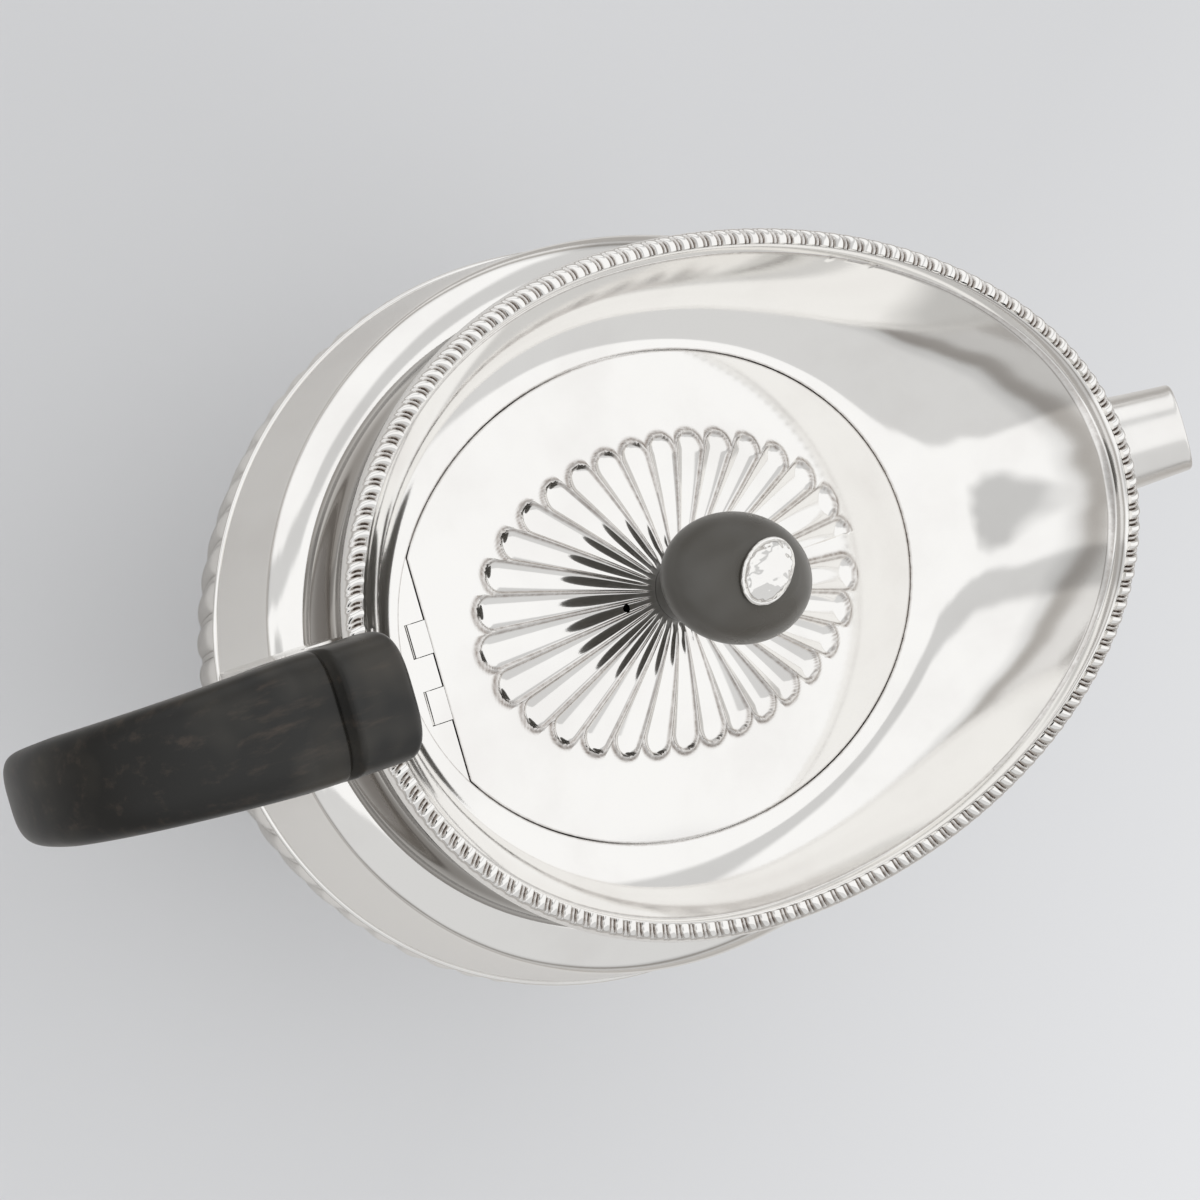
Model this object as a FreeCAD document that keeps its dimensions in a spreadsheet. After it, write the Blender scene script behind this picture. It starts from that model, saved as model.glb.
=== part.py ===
import FreeCAD, Part
import Sketcher
import math
import os

# Oval half-fluted silver teapot with a hinged flush lid and a dark wood handle and knob.
# Millimetres. +X points to the spout, +Z is up, and the origin is on the table under the knob.

Vector = FreeCAD.Vector
UP = Vector(0, 0, 1)

SIZES = (
    # Plan of the rim: two half ellipses that share one width
    ("rim_front", 77.0, "rim from the knob axis to the prow"),
    ("rim_rear", 66.8, "rim from the knob axis to the handle end"),
    ("rim_half_width", 52.2, "half the width of the rim"),
    ("neck_front", 31.0, "height of the neck with its border at the prow"),
    ("neck_middle", 14.7, "height of the neck with its border beside the knob"),
    ("neck_rear", 11.0, "height of the neck with its border at the handle end"),
    # Sheet and fits
    ("sheet", 1.2, "thickness of the silver sheet"),
    ("solder_gap", 0.05, "gap filled by solder between fixed pieces"),
    ("lid_gap", 0.35, "gap round the lid"),
    ("pin_clearance", 0.05, "clearance of a pin in its hole, on the radius"),
    # Bowl, band and shoulder
    ("foot_height", 5.0, "height of the foot"),
    ("foot_flare", 2.5, "spread of the foot at the table"),
    ("foot_ring", 6.0, "width of the foot ring under the bowl"),
    ("base_clear", 2.8, "gap round the base plate, filled by solder"),
    ("bowl_inset", 24.0, "how far the bowl's sides draw in from the rim to the foot"),
    ("bowl_end_inset", 33.8, "how far the bowl's ends draw in from the rim to the foot"),
    ("bowl_lean", 39.0, "angle of the bowl's side where it leaves the ridge"),
    ("bowl_turn", 70.0, "angle of the bowl's side where it meets the foot"),
    ("lobe_count", 72, "lobes round the bowl"),
    ("lobe_depth", 1.5, "height of a lobe over its valleys"),
    ("ridge_z", 44.0, "height of the ridge above the lobes"),
    ("ridge_height", 1.0, "height of the ridge bead"),
    ("ridge_proud", 0.8, "how far the ridge bead stands out"),
    ("band_proud", 3.0, "how far the plain band stands outside the rim"),
    ("band_height", 12.5, "height of the plain band above the ridge"),
    ("shoulder_rise", 3.9, "rise of the shoulder from the band to the neck"),
    ("neck_root_inset", 4.0, "how far the neck's root is inside the rim"),
    ("neck_hollow", 1.3, "depth of the neck's hollow curve"),
    # Border and dished top
    ("border_width", 2.5, "width of the gadroon border"),
    ("border_rise", 1.5, "rise of the border from its outer to its inner edge"),
    ("border_base", 0.8, "depth of the border below its outer edge"),
    ("border_bulge", 0.75, "roundness of the border"),
    ("dish_drop", 0.4, "drop from the border's inner edge to the dished top"),
    ("dish_power", 1.9, "how fast the dished top falls away from the rim"),
    # Lid
    ("lid_half_length", 51.7, "half the length of the lid's ellipse"),
    ("lid_half_width", 36.4, "half the width of the lid"),
    ("lid_drop", 6.1, "drop from the rim at the handle end to the lid's edge"),
    ("lid_bevel", 0.4, "how far the lid's edge slopes in below, so that it swings clear"),
    ("lid_rise", 4.0, "rise of the lid's dome"),
    ("lid_dome_power", 1.8, "flatness of the lid's dome"),
    ("lid_flat", 0.15, "flat under the knob, as a share of the lid"),
    ("lid_rear_slope", 0.6, "how far the lid's rear edge slopes in below"),
    ("petal_count", 32, "petals of the rosette"),
    ("petal_margin", 13.0, "plain margin outside the petals"),
    ("petal_radius", 4.4, "hollow of a petal at its tip, as a radius"),
    ("petal_depth", 0.65, "depth of a petal at its tip"),
    ("petal_start", 0.2, "where a petal starts, as a share of its reach"),
    ("vent_x", -10.6, "place of the vent hole"),
    ("vent_radius", 0.65, "radius of the vent hole"),
    ("ledge_width", 2.0, "how far the ledge reaches under the lid"),
    ("ledge_seat", 0.3, "drop from the lid to the ledge"),
    ("bezel_depth", 4.0, "depth of the lid's bezel"),
    ("bezel_wall", 1.0, "thickness of the lid's bezel"),
    # Hinge
    ("hinge_inset", 4.0, "hinge axis in from the end of the lid's ellipse"),
    ("hinge_radius", 1.75, "radius of a knuckle"),
    ("hinge_gap", 0.3, "gap between the hinge strip and what turns past it"),
    ("hinge_pin_radius", 0.7, "radius of the hinge pin"),
    ("knuckle_inner", 2.6, "inner end of a lid knuckle, from the middle"),
    ("knuckle_length", 5.0, "length of a lid knuckle"),
    ("knuckle_gap", 0.12, "gap between neighbouring knuckles"),
    ("barrel_end", 12.0, "outer end of the fixed knuckles, from the middle"),
    ("strap_length", 9.0, "reach of a hinge strap under the lid"),
    ("strap_thick", 1.0, "thickness of a hinge strap"),
    # Knob
    ("knob_half_length", 13.5, "half the length of the knob"),
    ("knob_half_width", 10.0, "half the width of the knob"),
    ("knob_half_height", 7.5, "half the height of the knob"),
    ("knob_lift", 13.5, "knob centre above the lid's top"),
    ("knob_twist", -15.0, "turn of the knob seen from above, in degrees"),
    ("stem_radius", 4.5, "foot radius of the knob's stem"),
    ("stem_top_radius", 6.0, "radius of the stem where it enters the knob"),
    ("knob_flat", 6.6, "seat of the cap above the knob's centre"),
    ("cap_half_length", 6.1, "half the length of the cap's flange"),
    ("cap_half_width", 4.3, "half the width of the cap's flange"),
    ("cap_flange", 0.8, "thickness of the cap's flange"),
    ("cap_rim", 0.9, "width of the flange round the cap's dome"),
    ("cap_rise", 2.0, "rise of the cap's dome"),
    ("cap_twist", 28.0, "turn of the cap seen from above, in degrees"),
    ("stud_radius", 1.5, "radius of the knob's threaded rod"),
    ("washer_radius", 4.5, "radius of the washer"),
    ("washer_thick", 0.8, "thickness of the washer"),
    ("nut_radius", 3.2, "corner radius of the nut"),
    ("nut_height", 2.4, "height of the nut"),
    ("stud_tail", 1.2, "thread showing below the nut"),
    # Handle and sockets
    ("bend_back", 23.2, "centre of the handle's bend behind the rim"),
    ("bend_drop", 11.6, "centre of the handle's bend below the rim"),
    ("bend_radius", 22.4, "radius of the handle's centre line"),
    ("handle_thick", 10.0, "thickness of the handle at its bend"),
    ("handle_top_width", 19.5, "width of the handle at its thumb scroll"),
    ("handle_bend_width", 16.0, "width of the handle at its bend"),
    ("handle_foot_width", 10.0, "width of the handle at its lower end"),
    ("handle_foot_thick", 8.5, "thickness of the handle at its lower end"),
    ("scroll_back", 3.2, "inner end of the thumb scroll behind the rim"),
    ("scroll_thick", 13.5, "thickness of the thumb scroll"),
    ("scroll_length", 14.0, "length of the thumb scroll"),
    ("groove_thick", 11.0, "thickness at the groove behind the thumb scroll"),
    ("handle_fullness", 0.6, "squareness of the handle's section, where 1 is an oval"),
    ("sleeve_back", 13.2, "middle of the upper socket's sleeve behind the rim"),
    ("sleeve_length", 12.0, "length of the sleeve along the handle"),
    ("sleeve_width", 19.0, "width of the sleeve"),
    ("sleeve_wall", 1.6, "wall of the sleeve"),
    ("sleeve_depth", 9.0, "depth of the sleeve's mortise"),
    ("arm_drop", 8.0, "drop from the sleeve's mouth to the top of its arm"),
    ("arm_height", 8.5, "height of the arm that joins the sleeve to the neck"),
    ("socket_round", 4.5, "rounding of the upper socket's back"),
    ("socket_fillet", 2.5, "rounding of the corner between the sleeve and its arm"),
    ("lower_socket_back", 15.2, "outer end of the lower socket behind the rim"),
    ("lower_socket_bury", 9.0, "how far the lower socket's blank runs in under the rim"),
    ("lower_socket_rim", 0.7, "how far the lower socket stands round the handle"),
    ("lower_tenon_length", 7.0, "length of the lower tenon"),
    ("lower_tenon_radius", 2.6, "radius of the lower tenon"),
    ("handle_pin_radius", 1.1, "radius of a handle pin"),
    # Spout
    ("spout_bury", 22.0, "start of the spout's line inside the rim"),
    ("spout_drop", 14.0, "start of the spout's line below the ridge"),
    ("spout_reach", 26.0, "middle of the spout's mouth past the rim"),
    ("spout_tip_drop", 13.8, "middle of the spout's mouth below the rim at the prow"),
    ("spout_root_angle", 35.0, "rise of the spout at its root, in degrees"),
    ("spout_tip_angle", 38.0, "rise of the spout at its mouth, in degrees"),
    ("spout_root_width", 26.0, "width of the spout at its root"),
    ("spout_root_height", 20.0, "height of the spout at its root"),
    ("spout_tip_width", 14.4, "width of the spout's mouth"),
    ("spout_tip_height", 11.0, "height of the spout's mouth"),
    ("spout_taper", 1.4, "how soon the spout narrows"),
    ("spout_wall", 1.2, "wall of the spout"),
    ("strainer_lift", 21.5, "middle of the strainer above the spout's root"),
    ("strainer_pitch", 3.0, "pitch of the strainer holes"),
    ("strainer_radius", 1.0, "radius of a strainer hole"),
    ("strainer_rows", 3, "rows of strainer holes"),
)

# Places that follow from the sizes
PLACES = (
    ("shoulder_z", "=ridge_z + band_height", "top of the plain band"),
    ("neck_root_z", "=shoulder_z + shoulder_rise", "where the shoulder meets the neck"),
    ("rim_front_z", "=neck_root_z + neck_front", "rim height at the prow"),
    ("rim_mid_z", "=neck_root_z + neck_middle", "rim height beside the knob"),
    ("rim_rear_z", "=neck_root_z + neck_rear", "rim height at the handle end"),
    ("lid_z", "=rim_rear_z - lid_drop", "height of the lid's edge"),
    ("hinge_x", "=hinge_inset - lid_half_length", "hinge axis"),
    ("bend_x", "=-rim_rear - bend_back", "centre of the handle's bend"),
    ("bend_z", "=rim_rear_z - bend_drop", "height of the centre of the handle's bend"),
    ("scroll_x", "=-rim_rear - scroll_back", "inner end of the thumb scroll"),
    ("sleeve_x", "=-rim_rear - sleeve_back", "middle of the upper socket's sleeve"),
    ("lower_socket_x", "=-rim_rear - lower_socket_back", "outer end of the lower socket"),
    ("spout_root_x", "=rim_front - spout_bury", "start of the spout's line"),
    ("spout_root_z", "=ridge_z - spout_drop", "height of the start of the spout's line"),
    ("spout_tip_x", "=rim_front + spout_reach", "middle of the spout's mouth"),
    ("spout_tip_z", "=rim_front_z - spout_tip_drop", "height of the spout's mouth"),
)

# Sections of the bowl: share of the turn of its side, and share of the lobes' full depth
BOWL_SECTIONS = (
    (0, 0.2), (0.06, 0.8), (0.14, 1.0), (0.3, 1.0), (0.46, 0.95), (0.62, 0.83), (0.81, 0.62), (1, 0.35),
)
# Sections of the thumb scroll: share of its length, of its thickness and of its width
SCROLL_SECTIONS = ((0, 0.35, 0.8), (0.06, 0.72, 0.93), (0.2, 0.95, 1), (0.5, 1, 1), (0.75, 0.95, 1))
# Sections of the lid's dome: share of the way from its flat to its edge
DOME_SECTIONS = (1, 0.82, 0.6, 0.3, 0)
# Angles of the sections of the handle's bend, and of the shoulder
BEND_ANGLES = (90, 120, 150, 180, 210, 240, 270)
SHOULDER_ANGLES = (0, 30, 60, 90)
# Counts of sections and of points on a section
RING_SECTIONS = 36
NECK_STEPS = 6
DISH_STEPS = 6
SPOUT_STEPS = 6
SECTION_POINTS = 16
PLAN_STEPS = 2000

doc = FreeCAD.newDocument("Teapot")
sheet = doc.addObject("Spreadsheet::Sheet", "Sizes")
for row, (alias, value, meaning) in enumerate(SIZES + PLACES, start=1):
    sheet.set(f"A{row}", meaning)
    sheet.set(f"B{row}", str(value))
    sheet.setAlias(f"B{row}", alias)
doc.recompute()


def size(alias):
    return float(sheet.get(alias))


def feature(label, shape):
    """Put a shape made by functions into the document."""
    item = doc.addObject("Part::Feature", label)
    item.Label = label
    item.Shape = shape
    item.Placement = FreeCAD.Placement()
    return item


def primitive(kind, label, axis=UP, angle=0.0, **expressions):
    """Add a primitive whose sizes and place are bound to the sheet."""
    item = doc.addObject(kind, label)
    item.Label = label
    item.Placement.Rotation = FreeCAD.Rotation(axis, angle)
    for name, text in expressions.items():
        place = {"x": "Placement.Base.x", "y": "Placement.Base.y", "z": "Placement.Base.z"}
        item.setExpression(place.get(name, name), text)
    return item


def join(label, items):
    item = doc.addObject("Part::MultiFuse", label)
    item.Label = label
    item.Shapes = items
    return item


def cut(label, base, tool):
    item = doc.addObject("Part::Cut", label)
    item.Label = label
    item.Base = base
    item.Tool = tool
    return item


def common(label, items):
    item = doc.addObject("Part::MultiCommon", label)
    item.Label = label
    item.Shapes = items
    return item


def raised(label, outline, height):
    """A solid raised straight up from a flat outline."""
    item = doc.addObject("Part::Extrusion", label)
    item.Label = label
    item.Base = outline
    item.DirMode = "Custom"
    item.Dir = UP
    item.Solid = True
    item.setExpression("LengthFwd", height)
    return item


def oval_slab(label, length, width, z, height):
    """A flat oval slab with its middle on the knob axis."""
    oval = primitive("Part::Ellipse", label + "_outline", MajorRadius=length, MinorRadius=width, z=z)
    return raised(label, oval, height)


def plan_point(turn, grow, z, end_grow=None):
    """A point of the rim's plan, grown outwards, at its ends by another amount if one is given."""
    along = size("rim_front") if math.cos(turn) >= 0 else size("rim_rear")
    along += grow if end_grow is None else end_grow
    return Vector(along * math.cos(turn), (size("rim_half_width") + grow) * math.sin(turn), z)


def plan_wire(grow, z, end_grow=None):
    """The rim's plan, grown outwards, as two half ellipses at one height."""
    halves = []
    for along, start in ((size("rim_front"), -0.5), (size("rim_rear"), 0.5)):
        along += grow if end_grow is None else end_grow
        width = size("rim_half_width") + grow
        if along >= width:
            ellipse = Part.Ellipse(Vector(0, 0, z), along, width)
        else:
            ellipse = Part.Ellipse(Vector(0, width, z), Vector(-along, 0, z), Vector(0, 0, z))
            start -= 0.5
        halves.append(ellipse.toShape(start * math.pi, (start + 1) * math.pi))
    return Part.Wire(halves)


def equal_turns(count, point):
    """Turns that divide a closed plan into stretches of equal length."""
    turns = [2 * math.pi * step / PLAN_STEPS for step in range(PLAN_STEPS + 1)]
    lengths = [0.0]
    for before, after in zip(turns, turns[1:]):
        lengths.append(lengths[-1] + (point(after) - point(before)).Length)
    marks = []
    step = 0
    for mark in range(count):
        target = lengths[-1] * mark / count
        while lengths[step + 1] < target:
            step += 1
        share = (target - lengths[step]) / (lengths[step + 1] - lengths[step])
        marks.append(turns[step] + share * (turns[step + 1] - turns[step]))
    return marks


def rim_height(x):
    """Height of the rim: a parabola through its three given heights."""
    front, rear = size("rim_front"), size("rim_rear")
    rise_front = (size("rim_front_z") - size("rim_mid_z")) / front
    rise_rear = (size("rim_rear_z") - size("rim_mid_z")) / rear
    bend = (rise_front + rise_rear) / (front + rear)
    slope = rise_front - bend * front
    return size("rim_mid_z") + slope * x + bend * x * x


def curve_edge(points):
    curve = Part.BSplineCurve()
    curve.interpolate(points)
    return curve.toShape()


def ring_loft(section):
    """A ring whose section, a closed wire, is given for each turn round the pot."""
    turns = [2 * math.pi * step / RING_SECTIONS for step in range(RING_SECTIONS)]
    return Part.makeLoft([section(turn) for turn in turns], True, False, True)


# Bowl, band and shoulder

def bowl_level(share):
    """The bowl after a share of its side's turn: growth of its sides and of its ends, height and wall."""
    first, last = math.radians(size("bowl_lean")), math.radians(size("bowl_turn"))
    angle = first + share * (last - first)
    drawn = (math.cos(first) - math.cos(angle)) / (math.cos(first) - math.cos(last))
    fallen = (math.sin(angle) - math.sin(first)) / (math.sin(last) - math.sin(first))
    proud, height = size("band_proud"), size("ridge_z") - size("foot_height")
    run = (proud + size("bowl_end_inset")) / (math.cos(first) - math.cos(last))
    drop = height / (math.sin(last) - math.sin(first))
    wall = size("sheet") * math.hypot(1, run / drop * math.tan(angle))
    side = proud - drawn * (proud + size("bowl_inset"))
    end = proud - drawn * (proud + size("bowl_end_inset"))
    return side, end, size("ridge_z") - fallen * height, wall


def lobed_wire(turns, share, depth):
    """The bowl's outline after a share of its side's turn: one arc for each lobe."""
    side, end, z, _ = bowl_level(share)
    arcs = []
    for index, start in enumerate(turns):
        finish = turns[index + 1] if index + 1 < len(turns) else 2 * math.pi
        crest = plan_point((start + finish) / 2, side + depth, z, end + depth)
        valleys = [plan_point(turn, side, z, end) for turn in (start, finish)]
        arcs.append(Part.Arc(valleys[0], crest, valleys[1]).toShape())
    return Part.Wire(arcs)


def shoulder_level(angle):
    """How far the shoulder is grown from the rim's plan, and at what height."""
    inner = -size("neck_root_inset")
    grow = inner + (size("band_proud") - inner) * math.cos(angle)
    return grow, size("shoulder_z") + (size("neck_root_z") - size("shoulder_z")) * math.sin(angle)


def bowl_outer():
    """The lobed bowl as a full solid."""
    lobes = int(size("lobe_count"))
    turns = equal_turns(lobes, lambda turn: plan_point(turn, size("band_proud"), 0))
    wires = [lobed_wire(turns, share, depth * size("lobe_depth")) for share, depth in BOWL_SECTIONS]
    return Part.makeLoft(wires, True, True)


def band_outer():
    """The ridge bead, plain band and shoulder as a full solid."""
    proud = size("band_proud")
    low = size("ridge_z")
    bead = Part.Face(plan_wire(proud + size("ridge_proud"), low)).extrude(UP * size("ridge_height"))
    band = Part.Face(plan_wire(proud, low)).extrude(UP * size("band_height"))
    levels = [shoulder_level(math.radians(angle)) for angle in SHOULDER_ANGLES]
    shoulder = Part.makeLoft([plan_wire(grow, z) for grow, z in levels], True, False)
    return band.fuse([bead, shoulder])


def body_cavity():
    """The inside of the bowl, band and shoulder, one sheet thickness in, and open at both ends."""
    sheet_wall = size("sheet")
    wires = []
    for share, _ in BOWL_SECTIONS[::-1]:
        side, end, z, wall = bowl_level(share)
        wires.append(plan_wire(side - wall, z, end - wall))
    side, end, z, wall = bowl_level(1)
    below = plan_wire(side - wall, z - sheet_wall, end - wall)
    wires.append(plan_wire(size("band_proud") - sheet_wall, size("shoulder_z") - sheet_wall))
    root = -size("neck_root_inset") - sheet_wall
    wires.append(plan_wire(root, size("neck_root_z") - sheet_wall))
    above_root = plan_wire(root, size("neck_root_z") + sheet_wall)
    return Part.makeLoft([below] + wires + [above_root], True, True)


def strainer_holes():
    """Rows of small holes through the bowl's wall behind the spout."""
    pitch = size("strainer_pitch")
    rows = int(size("strainer_rows"))
    holes = []
    for row in range(-rows + 1, rows):
        count = 2 * rows - 1 - abs(row)
        for place in range(count):
            y = (place - (count - 1) / 2) * pitch
            z = size("spout_root_z") + size("strainer_lift") + row * pitch * math.sqrt(3) / 2
            start = Vector(size("rim_front") - size("bowl_end_inset"), y, z)
            reach = size("bowl_end_inset") + size("spout_reach") / 2
            holes.append(Part.makeCylinder(size("strainer_radius"), reach, start, Vector(1, 0, 0)))
    return holes


lobed_bowl = bowl_outer()
pot_outer = lobed_bowl.fuse(band_outer())
body_shell = feature("body_shell", pot_outer.cut([body_cavity()] + strainer_holes()))


# Foot and base, as ovals of the bowl's own length and width

FOOT_LENGTH = "(Sizes.rim_front + Sizes.rim_rear) / 2 - Sizes.bowl_end_inset"
FOOT_WIDTH = "Sizes.rim_half_width - Sizes.bowl_inset"
FOOT_MIDDLE = "(Sizes.rim_front - Sizes.rim_rear) / 2"


def foot_oval(label, grow, z):
    return primitive("Part::Ellipse", label, MajorRadius=f"{FOOT_LENGTH} + {grow}",
                     MinorRadius=f"{FOOT_WIDTH} + {grow}", x=FOOT_MIDDLE, z=z)


def loft(label, sections):
    item = doc.addObject("Part::Loft", label)
    item.Label = label
    item.Sections = sections
    item.Solid = True
    item.Ruled = True
    return item


foot_outside = loft("foot_outside", [
    foot_oval("foot_bottom", "Sizes.foot_flare", "0"),
    foot_oval("foot_waist", "Sizes.foot_flare / 4", "Sizes.foot_height / 2"),
    foot_oval("foot_top", "Sizes.foot_flare / 3", "Sizes.foot_height"),
])
foot_inside = loft("foot_inside", [
    foot_oval("foot_hollow_bottom", "Sizes.foot_flare - Sizes.foot_ring", "-Sizes.sheet"),
    foot_oval("foot_hollow_top", "-Sizes.foot_ring", "Sizes.foot_height + Sizes.sheet"),
])
foot_rim = cut("foot_rim", foot_outside, foot_inside)

base_outline = foot_oval("base_outline", "-Sizes.sheet - Sizes.base_clear", "Sizes.foot_height")
base_plate = raised("base_plate", base_outline, "Sizes.sheet")


# Neck, border and dished top, as rings whose section changes round the pot

def neck_profile(share, rim_z):
    """Growth and height of the neck's outside, from its root to its top edge."""
    root = -size("neck_root_inset")
    grow = root * (1 - share) - size("neck_hollow") * math.sin(math.pi * share)
    top = rim_z - size("border_base") - size("solder_gap")
    return grow, size("neck_root_z") + (top - size("neck_root_z")) * share


def neck_section(turn):
    rim_z = rim_height(plan_point(turn, 0, 0).x)
    levels = [neck_profile(step / NECK_STEPS, rim_z) for step in range(NECK_STEPS + 1)]
    outside = [plan_point(turn, grow, z) for grow, z in levels]
    inside = [plan_point(turn, grow - size("sheet"), z) for grow, z in levels]
    return Part.Wire([
        curve_edge(outside),
        Part.makeLine(outside[-1], inside[-1]),
        curve_edge(inside[::-1]),
        Part.makeLine(inside[0], outside[0]),
    ])


def border_section(turn):
    rim_z = rim_height(plan_point(turn, 0, 0).x)
    low = rim_z - size("border_base")
    outer_low = plan_point(turn, 0, low)
    inner_high = plan_point(turn, -size("border_width"), rim_z + size("border_rise"))
    bulge = size("border_bulge")
    half_width, half_rise = size("border_width") / 2, size("border_rise") / 2
    middle = plan_point(turn, bulge - half_width, rim_z + half_rise + bulge)
    inner_low = plan_point(turn, -size("border_width"), low)
    return Part.Wire([
        Part.Arc(outer_low, middle, inner_high).toShape(),
        Part.makeLine(inner_high, inner_low),
        Part.makeLine(inner_low, outer_low),
    ])


def opening_point(turn):
    """A point of the lid's opening."""
    length = size("lid_half_length") + size("lid_gap")
    width = size("lid_half_width") + size("lid_gap")
    return Vector(length * math.cos(turn), width * math.sin(turn), size("lid_z"))


def dish_section(turn):
    outer = plan_point(turn, -size("border_width") - size("solder_gap"), 0)
    outer.z = rim_height(plan_point(turn, 0, 0).x) + size("border_rise") - size("dish_drop")
    inner = opening_point(turn)
    upper = []
    for step in range(DISH_STEPS + 1):
        share = step / DISH_STEPS
        point = outer * (1 - share) + inner * share
        point.z = inner.z + (outer.z - inner.z) * (1 - share) ** size("dish_power")
        upper.append(point)
    lower = [point - UP * size("sheet") for point in upper]
    return Part.Wire([
        curve_edge(upper),
        Part.makeLine(upper[-1], lower[-1]),
        curve_edge(lower[::-1]),
        Part.makeLine(lower[0], upper[0]),
    ])


neck_collar = feature("neck_collar", ring_loft(neck_section))
gadroon_border = feature("gadroon_border", ring_loft(border_section))
top_plate = feature("top_plate", ring_loft(dish_section))


# Ledge under the opening

HINGE_CLEAR = "Sizes.hinge_x + 2 * Sizes.hinge_radius + Sizes.hinge_gap"


def hinge_block(label, front, z, height):
    """A block that takes in everything behind a line near the hinge."""
    depth = "Sizes.rim_rear"
    return primitive("Part::Box", label, Length=depth, Width="2 * Sizes.rim_half_width", Height=height,
                     x=f"{front} - {depth}", y="-Sizes.rim_half_width", z=z)


LEDGE_TOP = "Sizes.lid_z - Sizes.sheet - Sizes.ledge_seat"
LEDGE_LOW = f"{LEDGE_TOP} - 2 * Sizes.sheet"
LEDGE_CUT = "4 * Sizes.sheet"


def lid_slab(label, grow, z, height):
    """A slab in the shape of the lid, grown outwards."""
    return oval_slab(label, f"Sizes.lid_half_length + {grow}", f"Sizes.lid_half_width + {grow}", z, height)


riser_blank = lid_slab("riser_blank", "Sizes.ledge_width", LEDGE_TOP, "Sizes.ledge_seat - Sizes.solder_gap")
riser_hole = lid_slab("riser_hole", "Sizes.lid_gap", LEDGE_TOP, "Sizes.ledge_seat")
ledge_riser = cut("ledge_riser", riser_blank, riser_hole)
ledge_flange = lid_slab("ledge_flange", "Sizes.ledge_width", f"{LEDGE_TOP} - Sizes.sheet", "Sizes.sheet")
ledge_blank = join("ledge_blank", [ledge_flange, ledge_riser])
ledge_mouth = lid_slab("ledge_mouth", "(-Sizes.ledge_width)", LEDGE_LOW, LEDGE_CUT)
ledge_rear = hinge_block("ledge_rear", HINGE_CLEAR, LEDGE_LOW, LEDGE_CUT)
lid_ledge = cut("lid_ledge", ledge_blank, join("ledge_cuts", [ledge_mouth, ledge_rear]))


# Hinge: a flush leaf with three fixed knuckles, two lid knuckles and the pin

HINGE_Z = "Sizes.lid_z - Sizes.hinge_radius"
KNUCKLE_OUTER = "Sizes.knuckle_inner + Sizes.knuckle_length"


def barrel(label, radius, start, length):
    """A cylinder along the hinge axis."""
    return primitive("Part::Cylinder", label, Vector(1, 0, 0), -90.0, Radius=radius, Height=length,
                     x="Sizes.hinge_x", y=start, z=HINGE_Z)


def hinge_notch(label, start):
    """The room that a lid knuckle turns in."""
    reach = "Sizes.hinge_radius + Sizes.hinge_gap"
    return primitive("Part::Box", label, Length=f"2 * ({reach})", Height="4 * Sizes.hinge_radius",
                     Width="Sizes.knuckle_length + 2 * Sizes.knuckle_gap", x=f"Sizes.hinge_x - ({reach})",
                     y=f"{start} - Sizes.knuckle_gap", z=f"{HINGE_Z} - 2 * Sizes.hinge_radius")


def pin_bore(label):
    return barrel(label, "Sizes.hinge_pin_radius + Sizes.pin_clearance", "-Sizes.barrel_end - Sizes.sheet",
                  "2 * (Sizes.barrel_end + Sizes.sheet)")


LEAF_LOW = "Sizes.lid_z - Sizes.sheet"
leaf_plate = common("leaf_plate", [
    lid_slab("leaf_oval", "(Sizes.lid_gap - Sizes.solder_gap)", LEAF_LOW, "Sizes.sheet"),
    hinge_block("leaf_rear", "Sizes.hinge_x + Sizes.hinge_radius", LEAF_LOW, "Sizes.sheet"),
])
fixed_barrel = barrel("fixed_barrel", "Sizes.hinge_radius", "-Sizes.barrel_end", "2 * Sizes.barrel_end")
leaf_cuts = join("leaf_cuts", [
    hinge_notch("left_notch", "Sizes.knuckle_inner"),
    hinge_notch("right_notch", f"-({KNUCKLE_OUTER})"),
    pin_bore("leaf_bore"),
])
body_hinge_leaf = cut("body_hinge_leaf", join("leaf_blank", [leaf_plate, fixed_barrel]), leaf_cuts)

hinge_pin = barrel("hinge_pin", "Sizes.hinge_pin_radius", "-Sizes.barrel_end", "2 * Sizes.barrel_end")


def lid_knuckle(side, start):
    """A barrel that runs on into a flat strap under the lid."""
    roll = barrel(side + "_roll", "Sizes.hinge_radius", start, "Sizes.knuckle_length")
    neck = primitive("Part::Box", side + "_neck", Width="Sizes.knuckle_length", Height="Sizes.hinge_radius",
                     Length="Sizes.hinge_radius + Sizes.hinge_gap - Sizes.solder_gap",
                     x="Sizes.hinge_x", y=start, z=HINGE_Z)
    strap = primitive("Part::Box", side + "_strap", Width="Sizes.knuckle_length", Height="Sizes.strap_thick",
                      Length="Sizes.strap_length", x="Sizes.hinge_x", y=start,
                      z="Sizes.lid_z - Sizes.sheet - Sizes.solder_gap - Sizes.strap_thick")
    return join(side + "_knuckle", [roll, neck, strap])


lid_knuckles = join("lid_knuckles", [lid_knuckle("left", "Sizes.knuckle_inner"),
                                     lid_knuckle("right", f"-({KNUCKLE_OUTER})")])
lid_hinge_knuckles = cut("lid_hinge_knuckles", lid_knuckles, pin_bore("lid_bore"))


# Lid cover with its rosette

def lid_height(share):
    """Height of the lid's top at a share of the way from the knob axis to the edge."""
    flat = size("lid_flat")
    level = max(0.0, (share - flat) / (1 - flat))
    return size("lid_z") + size("lid_rise") * (1 - level ** size("lid_dome_power"))


def oval_wire(length, width, z):
    """A level oval round the knob axis."""
    return Part.Wire([Part.Ellipse(Vector(0, 0, z), length, width).toShape()])


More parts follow.
